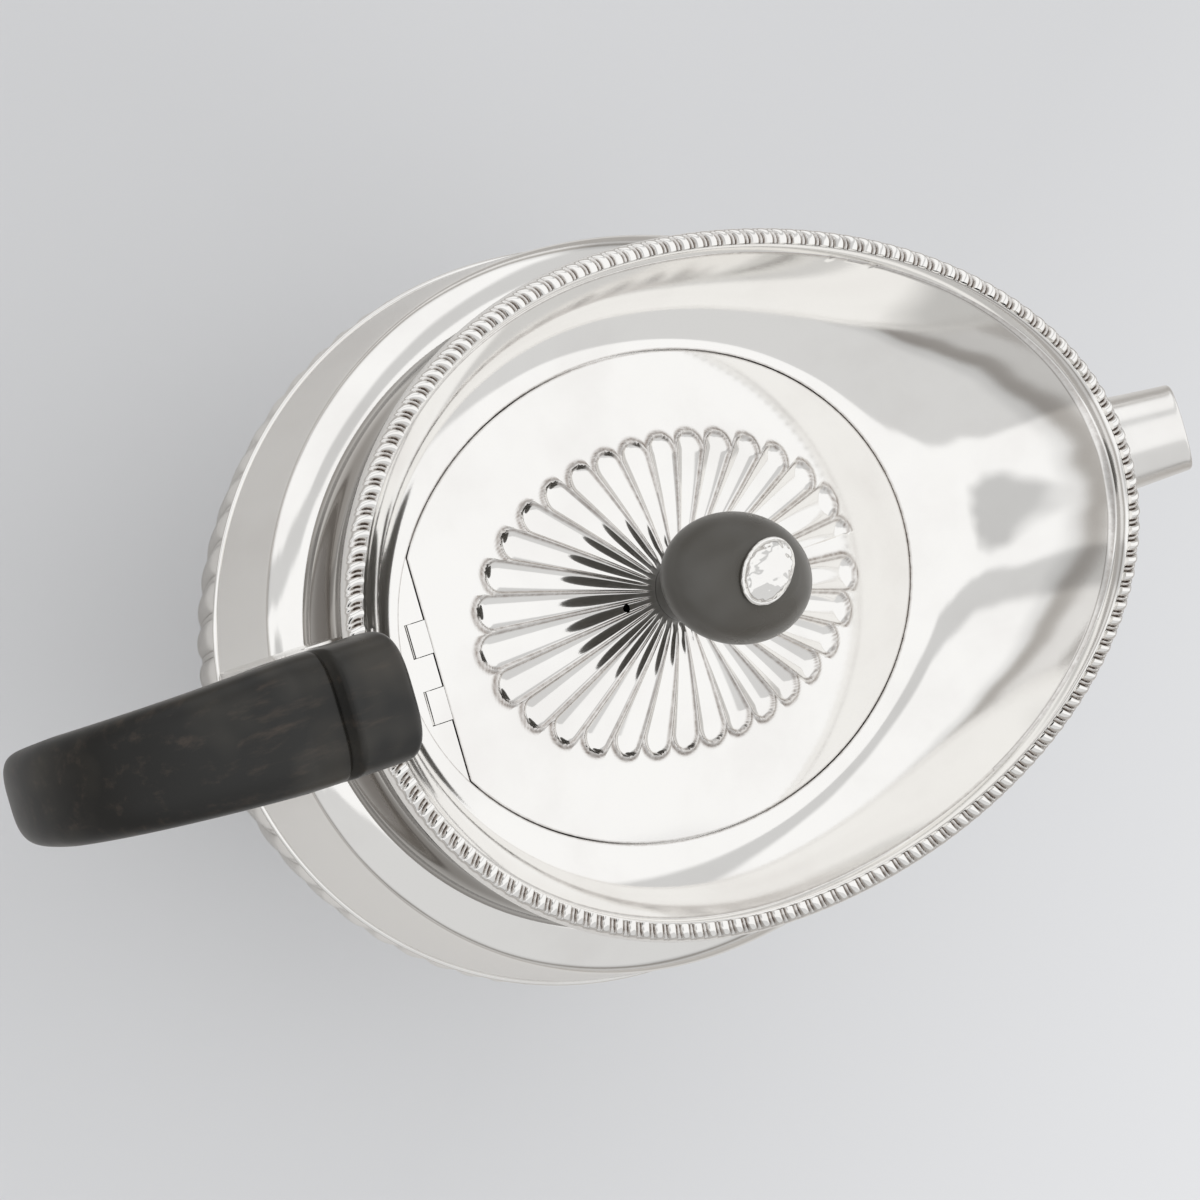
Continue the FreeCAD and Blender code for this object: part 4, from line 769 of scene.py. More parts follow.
class TEAPOT_OT_neck(bpy.types.Operator):
    """Build the hollow-curved neck"""
    bl_idname = "teapot.neck"
    bl_label = "Neck"

    steps = 24
    # Place up the neck, and how much painted dark reflection it takes there
    painted_reflection = (0, 0.15, 0.45, 0.6, 0.8, 1), (0.55, 0.85, 0.92, 0.7, 0.85, 0.95)

    def execute(self, context):
        body, plan, top = context.scene.teapot_body, context.scene.teapot_plan, context.scene.teapot_top
        turns = plan_turns(RING)
        top_z = rim_heights(turns) - top.border_base
        outer, inner = [], []
        for step in np.linspace(0, 1, self.steps):
            hollow = body.neck_hollow * math.sin(math.pi * step)
            grow = -body.neck_inset * (1 - step) - hollow
            end_grow = -neck_insets(turns) * (1 - step) - hollow
            z = body.neck_root_z + (top_z - body.neck_root_z) * step
            outer.append(plan_points(turns, grow, z, end_grow))
            inner.append(plan_points(turns, grow - plan.sheet, z, end_grow - plan.sheet))
        points = np.array(outer + inner[::-1])
        piece = ring_piece("neck", points, material("silver_polished"), "pot", ["neck_collar"])
        shade = np.zeros(points.shape[:2])
        shade[:self.steps] = np.interp(np.linspace(0, 1, self.steps), *self.painted_reflection)[:, None]
        set_shade(piece, shade, "painted_reflection")
        return {"FINISHED"}


class TEAPOT_OT_border(bpy.types.Operator):
    """Build the gadroon border: leaning lobes with a thin reed between each two"""
    bl_idname = "teapot.border"
    bl_label = "Gadroon border"

    points_per_lobe = 20
    arc_rows = 17
    # Half the share of a pitch that a lobe takes, then place, half share and height of the reed
    lobe_half = 0.32
    reed_place = 0.82
    reed_half = 0.12
    reed_height = 0.55
    # Shares of the section where the full cuts begin and over which they deepen
    cut_start = 0.2
    cut_run = 0.5
    # Depth of the cuts outside that, as a share, and the share of the section over which it is reached
    edge_cut = 0.12
    edge_run = 0.3
    # Strength of the tarnish in the cuts, and how fast it ends up their sides
    tarnish = 1.35
    tarnish_fade = 2.0

    def pattern(self, phase):
        """Height of the border across one lobe and its reed, from 0 to 1."""
        lobe = np.sqrt(np.clip(1 - ((phase - self.lobe_half) / self.lobe_half) ** 2, 0, 1))
        reed = np.sqrt(np.clip(1 - ((phase - self.reed_place) / self.reed_half) ** 2, 0, 1))
        return np.maximum(lobe, self.reed_height * reed)

    def section(self, top):
        """Rows of the border's rounded section: step, growth, rise from its low edge, and the way out."""
        steps = np.linspace(0, 1, self.arc_rows)
        bulge = top.border_bulge * 4 * steps * (1 - steps)
        grow = bulge - top.border_width * steps
        rise = bulge + (top.border_base + top.border_rise) * steps
        out = np.stack([np.gradient(rise), -np.gradient(grow)], axis=-1)
        return zip(steps, grow, rise, out / np.linalg.norm(out, axis=1, keepdims=True))

    def execute(self, context):
        top = context.scene.teapot_top
        columns = top.gadroons * self.points_per_lobe
        turns = plan_turns(columns)
        low = rim_heights(turns) - top.border_base
        around = np.arange(columns) / self.points_per_lobe
        rows, recess = [], []
        for step, grow, rise, out in self.section(top):
            height = self.pattern((around + top.gadroon_lean * smooth(step)) % 1)
            inward = smooth((step - self.cut_start) / self.cut_run)
            outward = self.edge_cut * smooth(step / self.edge_run)
            cut = (1 - height) * top.gadroon_depth * (outward + inward)
            rows.append(plan_points(turns, grow - out[0] * cut, low + rise - out[1] * cut))
            recess.append(np.clip(self.tarnish - self.tarnish_fade * height, 0, 1) * inward)
        rows.append(plan_points(turns, -top.border_width, low))
        recess.append(np.zeros(columns))
        piece = ring_piece("border", np.array(rows), material("silver_polished"), "pot", ["gadroon_border"])
        set_shade(piece, recess)
        return {"FINISHED"}


class TEAPOT_OT_top(bpy.types.Operator):
    """Build the dished top with the plain fillet inside the border"""
    bl_idname = "teapot.top"
    bl_label = "Dished top"

    steps = 52
    fillet_rows = 11
    # Tarnish along the fillet's inner edge and along the seam round the lid
    fillet_tarnish = 0.5
    seam_tarnish = 0.6

    def execute(self, context):
        top, plan = context.scene.teapot_top, context.scene.teapot_plan
        turns = plan_turns(RING)
        outer = plan_points(turns, -top.border_width, 0)
        outer_z = rim_heights(turns) + top.border_rise - top.dish_drop
        inner = np.stack([(top.lid_length + plan.seam) * np.cos(turns),
                          (top.lid_width + plan.seam) * np.sin(turns), np.full(RING, top.lid_z)], axis=-1)
        run = np.linalg.norm((outer - inner)[:, :2], axis=1)
        upper, lower = [], []
        fillet = top.wire / run
        shares = [fillet * place for place in np.linspace(0, 1, self.fillet_rows)]
        dish_places = np.linspace(0, 1, self.steps - self.fillet_rows + 1)[1:]
        shares += [fillet + (1 - fillet) * place for place in dish_places]
        for step in shares:
            point = outer * (1 - step)[:, None] + inner * step[:, None]
            fall = (outer_z - top.lid_z) * (1 - step) ** top.dish_power
            across = run * step / top.wire
            arch = np.sqrt(np.clip(1 - (2 * across - 1) ** 2, 0, 1))
            bead = top.dish_drop * arch - top.dish_drop * (across < 1)
            point[:, 2] = top.lid_z + fall + bead
            under = point.copy()
            under[:, 2] = top.lid_z + fall - plan.sheet
            upper.append(point)
            lower.append(under)
        points = np.array(upper + lower[::-1])
        piece = ring_piece("dished_top", points, material("silver_polished"), "pot", ["top_plate"])
        shade = np.zeros(points.shape[:2])
        shade[self.fillet_rows - 1] = self.fillet_tarnish
        shade[self.steps - 1] = self.seam_tarnish
        set_shade(piece, shade)
        return {"FINISHED"}


class TEAPOT_OT_lid(bpy.types.Operator):
    """Build the flush lid with its rosette of hollow petals"""
    bl_idname = "teapot.lid"
    bl_label = "Lid"

    points_per_petal = 28
    steps = 120
    # One row of the underside for so many rows of the top
    under_stride = 6
    # Hole under the knob's stem, in bores of the knob
    hole_size = 1.2
    # How far the straight rear edge slopes in below
    rear_slope = 0.0006
    # Share of the room between its neighbours that a petal's round end takes
    petal_share = 0.96
    # Across a petal, where 1 is its edge: place and width of the raised line, and its spread at the knob
    bead_place = 1.04
    bead_width = 0.09
    bead_spread = 0.16
    # Place, width and strength of the tarnish outside and inside the raised line, and where it ends
    dark_lines = (1.2, 0.12, 0.8), (0.93, 0.07, 0.75)
    dark_end = 1.6
    # Radius of the plain middle, and the run over which the petals start outside it
    plain_radius = 0.0045
    plain_run = 0.003
    # Tarnish along the lid's upper and lower edge
    edge_tarnish = 0.5
    seam_tarnish = 0.6

    def dome(self, top, x, y):
        """Height of the lid's dome over its edge."""
        level = np.hypot(x / top.lid_length, y / top.lid_width)
        level = np.clip((level - top.lid_flat) / (1 - top.lid_flat), 0, 1)
        return top.lid_rise * (1 - level ** top.lid_power)

    def tips(self, top):
        """Half length and width of the rosette, bearings of its tips, and bearings midway between them."""
        half_length, half_width = top.lid_length - top.petal_margin, top.lid_width - top.petal_margin
        tips = ellipse_turns(top.petals, half_length, half_length, half_width)
        bearings = np.unwrap(np.arctan2(half_width * np.sin(tips), half_length * np.cos(tips)))
        edges = np.concatenate([[bearings[-1] - 2 * math.pi], bearings, [bearings[0] + 2 * math.pi]])
        return half_length, half_width, bearings, (edges[:-1] + edges[1:]) / 2

    def rosette(self, top, x, y):
        """Relief of the petals and how deep a point lies in the lines between them."""
        half_length, half_width, bearings, middles = self.tips(top)
        bearing = np.mod(np.arctan2(y, x), 2 * math.pi)
        radius = np.hypot(x, y)
        nearest = np.clip(np.searchsorted(middles, bearing) - 1, -1, top.petals - 1) % top.petals
        tip_bearing = bearings[nearest]
        away = np.mod(bearing - tip_bearing + math.pi, 2 * math.pi) - math.pi
        reach = half_length * half_width / np.hypot(half_width * np.cos(tip_bearing),
                                                    half_length * np.sin(tip_bearing))
        after = np.append(bearings[1:], bearings[0] + 2 * math.pi)
        gap = (after - bearings + np.roll(after - bearings, 1)) / 2
        half_angle = gap[nearest] / 2
        half = self.petal_share * reach * np.sin(half_angle) / (1 + np.sin(half_angle))
        centre = reach - half
        along, aside = radius * np.cos(away), radius * np.sin(away)
        straight = np.abs(aside) / np.maximum(half * along / centre, 1e-6)
        rounded = np.hypot(aside, along - centre) / half
        edge = np.where(along < centre, straight, rounded)
        size = np.clip(along / centre, 0, 1)
        hollow = -top.petal_depth * size * np.clip(1 - edge ** 2, 0, 1)
        bead_width = self.bead_width + self.bead_spread * (1 - size)
        bead = top.petal_bead * np.exp(-((edge - self.bead_place) / bead_width) ** 2)
        line = sum(strength * np.exp(-((edge - place) / width) ** 2)
                   for place, width, strength in self.dark_lines)
        inner = smooth((radius - self.plain_radius) / self.plain_run)
        return (hollow + bead) * inner, line * inner * (edge < self.dark_end)

    def execute(self, context):
        top, plan = context.scene.teapot_top, context.scene.teapot_plan
        columns = top.petals * self.points_per_petal
        middles = self.tips(top)[-1]
        bearing = np.interp(np.arange(columns) / self.points_per_petal, np.arange(top.petals + 1), middles)
        turns = np.arctan2(top.lid_length * np.sin(bearing), top.lid_width * np.cos(bearing))
        cos, sin = np.cos(turns), np.sin(turns)
        far = np.ones(columns)
        behind = top.lid_length * cos < top.lid_rear
        far[behind] = top.lid_rear / (top.lid_length * cos[behind])
        start = context.scene.teapot_grip.bore / top.lid_width * self.hole_size
        rows, recess, under = [], [], []
        for step in np.linspace(0, 1, self.steps):
            level = start + (far - start) * step
            x, y = top.lid_length * cos * level, top.lid_width * sin * level
            relief, line = self.rosette(top, x, y)
            rise = self.dome(top, x, y)
            flush = smooth((x - top.lid_rear) / top.flush_length)
            rows.append(np.stack([x, y, top.lid_z + rise * flush + relief], axis=-1))
            recess.append(line)
            under.append(np.stack([x, y, top.lid_z + rise - plan.sheet], axis=-1))
        recess[-1] = recess[-1] + self.edge_tarnish
        edge = under.pop()
        edge[:, 0] = np.maximum(edge[:, 0] * (1 - top.lid_bevel / top.lid_length),
                                top.lid_rear + self.rear_slope)
        edge[:, 1] *= 1 - top.lid_bevel / top.lid_width
        points = np.array(rows + [edge] + under[::-self.under_stride] + [under[0]])
        piece = ring_piece("lid", points, material("silver_polished"), "lid", ["lid_cover"])
        shade = np.zeros(points.shape[:2])
        shade[:self.steps] = recess
        shade[self.steps] = self.seam_tarnish
        set_shade(piece, shade)
        low = top.lid_z - plan.sheet
        bore(piece, np.array([(top.vent_x, 0, low)]), Vector((0, 0, 1)), 2 * top.lid_rise, top.vent_radius)
        return {"FINISHED"}


class TEAPOT_OT_knob(bpy.types.Operator):
    """Build the oval wooden knob and its silver cap"""
    bl_idname = "teapot.knob"
    bl_label = "Knob and cap"

    columns = 128
    stem_rows = 14
    ball_rows = 40
    flange_rows = 9
    dome_rows = 18
    # Where the ball starts, below its middle
    ball_start = math.radians(-52)
    # Swelling of the stem and the share of its height that takes, and where the stem starts to widen
    stem_swell = 0.0006
    swell_share = 0.5
    stem_share = 0.45
    # Roundness of the cap's flange, in its thicknesses, and where its dome closes
    flange_round = 0.35
    dome_end = 88

    def oval_rows(self, profile, twist):
        """Rows of an upright piece with an oval plan, from (half length, half width, height)."""
        turns = np.linspace(0, 2 * math.pi, self.columns, endpoint=False)
        turned = np.array(Matrix.Rotation(twist, 3, "Z"))
        rows = []
        for half_length, half_width, z in profile:
            x, y = half_length * np.cos(turns), half_width * np.sin(turns)
            rows.append(np.stack([x, y, np.full_like(turns, z)], axis=-1) @ turned.T)
        return np.array(rows)

    def wood(self, grip, foot):
        """Profile of the stem and ball, from the bore at the stem's foot to the bore at the cap's seat."""
        ball_length = grip.knob_length * math.cos(self.ball_start)
        ball_width = grip.knob_width * math.cos(self.ball_start)
        ball_foot = grip.knob_z + grip.knob_height * math.sin(self.ball_start)
        profile = [(grip.bore, grip.bore, foot), (grip.stem_radius, grip.stem_radius, foot)]
        for step in np.linspace(0, 1, self.stem_rows)[1:-1]:
            stem = grip.stem_radius + self.stem_swell * smooth(step / self.swell_share)
            meet = smooth((step - self.stem_share) / (1 - self.stem_share)) ** 2
            profile.append((stem + (ball_length - stem) * meet, stem + (ball_width - stem) * meet,
                            foot + (ball_foot - foot) * step))
        seat = math.asin(grip.knob_flat / grip.knob_height)
        for turn in np.linspace(self.ball_start, seat, self.ball_rows):
            profile.append((grip.knob_length * math.cos(turn), grip.knob_width * math.cos(turn),
                            grip.knob_z + grip.knob_height * math.sin(turn)))
        return profile + [(grip.bore, grip.bore, grip.knob_z + grip.knob_flat)]

    def cap(self, grip, base):
        """Profile of the cap's rounded flange and dome."""
        rim = grip.cap_flange * self.flange_round
        profile = [(grip.cap_length - rim, grip.cap_width - rim, base)]
        for turn in np.radians(np.linspace(-90, 90, self.flange_rows)):
            out = rim * math.cos(turn) - rim
            profile.append((grip.cap_length + out, grip.cap_width + out,
                            base + grip.cap_flange / 2 * (1 + math.sin(turn))))
        dome_length, dome_width = grip.cap_length - grip.cap_rim, grip.cap_width - grip.cap_rim
        for turn in np.radians(np.linspace(0, self.dome_end, self.dome_rows)):
            profile.append((dome_length * math.cos(turn), dome_width * math.cos(turn),
                            base + grip.cap_flange + grip.cap_rise * math.sin(turn)))
        return profile

    def execute(self, context):
        grip, top = context.scene.teapot_grip, context.scene.teapot_top
        wood = self.wood(grip, top.lid_z + top.lid_rise + SEAT_GAP)
        # The knob's wood is painted lighter than the handle's, a painted sheen
        ring_piece("knob_wood", self.oval_rows(wood, grip.knob_twist), material("ebony_knob_painted_sheen"), "lid",
                   ["knob"], slot="ebony")
        cap = self.cap(grip, grip.knob_z + grip.knob_flat + SEAT_GAP)
        closed_piece("knob_cap_dome", self.oval_rows(cap, grip.cap_twist), material("silver_pitted"), "lid",
                     ["knob_cap"])
        return {"FINISHED"}


class TEAPOT_OT_handle(bpy.types.Operator):
    """Build the wooden handle with its thumb scroll"""
    bl_idname = "teapot.handle"
    bl_label = "Handle"

    columns = 96
    # Places of the rows along the upper branch, closer at the scroll's end, and steps round the bend
    branch_steps = np.concatenate([np.linspace(0, 0.2, 16), np.linspace(0.2, 1, 60)[1:]])
    bend_steps = 73
    # Place along the scroll's length, and share of its extra thickness there
    scroll = (0, 0.6, 0.9, 0.94, 1.0, 1.03, 1.25), (1, 1, 0.98, 0.96, 0, 0.1, 0)
    # Length and power of the rounding of the scroll's end, and the least size of a row there
    soft_length = 0.0035
    soft_power = 2.4
    soft_least = 0.02
    crease = math.radians(60)

    def branch(self, grip):
        """Rows of the upper branch from the scroll's end to the bend."""
        rows = []
        under = grip.bend_z + grip.bend_radius - grip.thick / 2
        straight = grip.scroll_x - grip.bend_x
        places, shares = np.array(self.scroll)
        thicks = shares * (grip.scroll_thick - grip.groove_thick) + grip.groove_thick
        for back in straight * self.branch_steps:
            thick = np.interp(back, places * grip.scroll_length, thicks)
            behind = smooth((back - grip.scroll_length) / (straight - grip.scroll_length))
            thick += (grip.thick - grip.groove_thick) * behind
            close = max(0.0, 1 - back / self.soft_length)
            size = max((1 - close ** self.soft_power) ** (1 / self.soft_power), self.soft_least)
            middle = np.array((grip.scroll_x - back, 0, under + thick / 2))
            rows.append(soft_loop(middle, np.array((0, 0, 1)), thick * size, grip.top_width * size,
                                  grip.fullness, self.columns))
        return rows

    def bend(self, grip):
        """Rows of the bend and of the lower branch's end."""
        rows = []
        centre = np.array((grip.bend_x, 0, grip.bend_z))
        for degrees in np.linspace(90, 270, self.bend_steps)[1:]:
            turn = math.radians(degrees)
            across = np.array((math.cos(turn), 0, math.sin(turn)))
            upper, lower = min(1, (degrees - 90) / 90), max(0, (degrees - 180) / 90)
            width = grip.top_width + (grip.bend_width - grip.top_width) * upper
            width += (grip.foot_width - grip.bend_width) * lower
            thick = grip.thick + (grip.foot_thick - grip.thick) * lower
            rows.append(soft_loop(centre + across * grip.bend_radius, across, thick, width, grip.fullness,
                                  self.columns))
        end = np.array((grip.socket_x, 0, grip.bend_z - grip.bend_radius))
        rows.append(soft_loop(end, np.array((0, 0, -1)), grip.foot_thick, grip.foot_width, grip.fullness,
                              self.columns))
        return rows

    def execute(self, context):
        grip = context.scene.teapot_grip
        points = np.array(self.branch(grip) + self.bend(grip))
        closed_piece("handle_wood", points, material("ebony_handle"), "pot", ["handle"], slot="ebony",
                     crease=self.crease)
        return {"FINISHED"}


class TEAPOT_OT_sockets(bpy.types.Operator):
    """Build the two silver sockets that hold the handle"""
    bl_idname = "teapot.sockets"
    bl_label = "Sockets"

    # Upper socket: rows across it, its rounded heel in front of the sleeve's middle and the share of the
    # arm's height that the heel takes, the fillet between sleeve and arm, and its softened edges
    upper_rows = 17
    heel = 0.003
    heel_share = 0.98
    fillet = 0.0025
    edge_width = 0.0006
    edge_angle = math.radians(50)
    # Lower socket: distance from its mouth and size there of the bead's rows, how far inside the rim its
    # end starts to look for the bowl's wall and by which steps, and how far the end flares
    columns = 96
    bead = (0.0, 0.93), (0.0, 0.97), (0.0004, 1.0), (0.0014, 1.0), (0.0018, 0.97), (0.0022, 0.94)
    end_depth = 0.009
    wall_step = 0.00025
    wall_steps = 40
    end_flare = 0.1

    def execute(self, context):
        self.upper(context)
        self.lower(context)
        return {"FINISHED"}

    def upper(self, context):
        """An arm and sleeve with softened edges, whose end follows the neck."""
        grip, plan, body = context.scene.teapot_grip, context.scene.teapot_plan, context.scene.teapot_body
        mouth = grip.bend_z + grip.bend_radius - grip.thick / 2
        arm_top = mouth - grip.arm_drop
        arm_low = arm_top - grip.arm_height
        front, back = grip.sleeve_x + grip.sleeve_length / 2, grip.sleeve_x - grip.sleeve_length / 2
        heel = grip.sleeve_x + self.heel
        under = [(heel - (heel - back) * math.cos(turn),
                  arm_low + (arm_top - arm_low) * self.heel_share * (1 - math.sin(turn)))
                 for turn in math.pi / 2 * np.linspace(0, 1, 9)]
        inner = [(front + self.fillet * (1 - math.sin(turn)), arm_top + self.fillet * (1 - math.cos(turn)))
                 for turn in math.pi / 2 * np.linspace(0, 1, 7)]
        rows = []
        for y in np.linspace(-grip.sleeve_width / 2, grip.sleeve_width / 2, self.upper_rows):
            cheeks = [(front, mouth + self.cheek(grip, y, grip.scroll_thick)),
                      (back, mouth + self.cheek(grip, y, grip.groove_thick))]
            end = [(self.neck_face(plan, body, y, z), z) for z in np.linspace(arm_low, arm_top, 7)]
            rows.append([(x, y, z) for x, z in cheeks + under + end + inner])
        points = np.array(rows)
        piece = closed_piece("upper_socket", points, material("silver_worn"), "pot", ["upper_handle_socket"])
        edges = piece.modifiers.new("soft_edges", "BEVEL")
        edges.width = self.edge_width
        edges.segments = 3
        edges.limit_method = "ANGLE"
        edges.angle_limit = self.edge_angle

    def cheek(self, grip, y, thick):
        """How far the rounded underside of the handle has risen at a distance from its middle."""
        level = (1 - abs(2 * y / grip.top_width) ** (2 / grip.fullness)) ** (grip.fullness / 2)
        return thick / 2 * (1 - level)

    def neck_face(self, plan, body, y, z):
        """X of a point a little inside the neck's outside at the handle end."""
        step = np.clip((z - body.neck_root_z) / (plan.rim_rear_z - body.neck_root_z), 0, 1)
        grow = -body.neck_inset * (1 - step) - body.neck_hollow * math.sin(math.pi * step) - plan.sheet / 2
        across = y / (plan.rim_half_width + grow)
        return -(plan.rim_rear + grow) * math.sqrt(1 - across * across)

    def lower(self, context):
        """A short sleeve with a bead at its mouth, whose end follows the bowl."""
        grip, plan = context.scene.teapot_grip, context.scene.teapot_plan
        middle_z = grip.bend_z - grip.bend_radius
        thick, width = grip.foot_thick + 2 * grip.socket_rim, grip.foot_width + 2 * grip.socket_rim
        rows = []
        for back, size in self.bead:
            middle = np.array((grip.socket_x + SEAT_GAP + back, 0, middle_z))
            rows.append(soft_loop(middle, np.array((0, 0, 1)), thick * size, width * size, grip.fullness,
                                  self.columns))
        start = rows[-1]
        end = start.copy()
        end[:, 0] = -plan.rim_rear + self.end_depth
        for _ in range(self.wall_steps):
            inside = inside_pot(end, plan.sheet / 2)
            end[inside, 0] -= self.wall_step
        for step in np.linspace(0, 1, 12)[1:]:
            row = start * (1 - step) + end * step
            flare = 1 + self.end_flare * smooth(2 * step - 1)
            row[:, 1] *= flare
            row[:, 2] = middle_z + (row[:, 2] - middle_z) * flare
            rows.append(row)
        closed_piece("lower_socket", np.array(rows), material("silver_worn"), "pot", ["lower_handle_socket"])


class TEAPOT_OT_spout(bpy.types.Operator):
    """Build the hollow spout"""
    bl_idname = "teapot.spout"
    bl_label = "Spout"

    columns = 120
    steps = 48
    # Shares of the spout's length: where the lip starts, how far it reaches, and where the bore ends
    lip_start = 0.988
    lip_reach = 0.0118
    bore_end = 0.985
    lip_rows = 9
    # Halvings by which the place where the spout leaves the bowl is found
    halvings = 18
    # Tarnish round the root and inside
    root_tarnish = 0.6
    inside_tarnish = 0.35

    def line(self, spout, s):
        """Middle and direction of the spout after a share s of its length."""
        start, end = np.array((spout.root_x, 0, spout.root_z)), np.array((spout.tip_x, 0, spout.tip_z))
        pull = np.linalg.norm(end - start)
        first = np.array((math.cos(spout.root_angle), 0, math.sin(spout.root_angle))) * pull
        last = np.array((math.cos(spout.tip_angle), 0, math.sin(spout.tip_angle))) * pull
        middle = (start * (2 * s ** 3 - 3 * s ** 2 + 1) + first * (s ** 3 - 2 * s ** 2 + s)
                  + end * (3 * s ** 2 - 2 * s ** 3) + last * (s ** 3 - s ** 2))
        heading = (start * (6 * s ** 2 - 6 * s) + first * (3 * s ** 2 - 4 * s + 1)
                   + end * (6 * s - 6 * s ** 2) + last * (3 * s ** 2 - 2 * s))
        return middle, heading / np.linalg.norm(heading)

    def loops(self, spout, places, inset):
        """Points round the spout, each column at its own share of the spout's length."""
        turns = np.linspace(0, 2 * math.pi, self.columns, endpoint=False)
        points = np.empty((self.columns, 3))
        for column, (turn, place) in enumerate(zip(turns, places)):
            middle, heading = self.line(spout, place)
            taper = (1 - place) ** spout.taper
            width = spout.tip_width + (spout.root_width - spout.tip_width) * taper - 2 * inset
            height = spout.tip_height + (spout.root_height - spout.tip_height) * taper - 2 * inset
            across = np.array((-heading[2], 0, heading[0]))
            points[column] = middle + across * (height / 2 * math.cos(turn))
            points[column, 1] = width / 2 * math.sin(turn)
        return points

    def root_places(self, spout, inset, sink):
        """The share of the spout's length at which each column leaves the bowl's wall."""
        low, high = np.zeros(self.columns), np.ones(self.columns)
        for _ in range(self.halvings):
            middle = (low + high) / 2
            inside = inside_pot(self.loops(spout, middle, inset), sink)
            low = np.where(inside, middle, low)
            high = np.where(inside, high, middle)
        return high

    def execute(self, context):
        spout, plan = context.scene.teapot_spout, context.scene.teapot_plan
        rows = []
        outer_root = self.root_places(spout, 0, plan.sheet / 3)
        inner_root = self.root_places(spout, spout.wall, plan.sheet / 3)
        for step in np.linspace(0, 1, self.steps):
            rows.append(self.loops(spout, outer_root + (self.lip_start - outer_root) * step, 0))
        for turn in np.radians(np.linspace(15, 165, self.lip_rows)):
            place = np.full(self.columns, self.lip_start + self.lip_reach * math.sin(turn))
            rows.append(self.loops(spout, place, spout.wall / 2 * (1 - math.cos(turn))))
        for step in np.linspace(1, 0, self.steps):
            rows.append(self.loops(spout, inner_root + (self.bore_end - inner_root) * step, spout.wall))
        points = np.array(rows)
        piece = ring_piece("spout_tube", points, material("silver_worn"), "pot", ["spout"])
        shade = np.zeros(points.shape[:2])
        shade[0] = self.root_tarnish
        shade[self.steps + self.lip_rows:] = self.inside_tarnish
        set_shade(piece, shade)
        return {"FINISHED"}


class TEAPOT_OT_fittings(bpy.types.Operator):
    """Finish the pieces shown as packed: hinge, pins, base, ledge, bezel and knob fixings"""
    bl_idname = "teapot.fittings"
    bl_label = "Hinge and fittings"

    finishes = {
        "silver_polished": ("body_hinge_leaf", "lid_hinge_knuckles"),
        "silver_worn": ("upper_handle_pin", "lower_handle_pin"),
        "silver_inside": ("base_plate", "lid_ledge", "lid_bezel"),
        "steel_turned": ("hinge_pin", "knob_stud", "knob_washer", "knob_nut"),
    }

    def execute(self, context):
        for finish, names in self.finishes.items():
            for name in names:
                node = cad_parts[name]
                node.data.materials.clear()
                node.data.materials.append(material(finish))
        return {"FINISHED"}


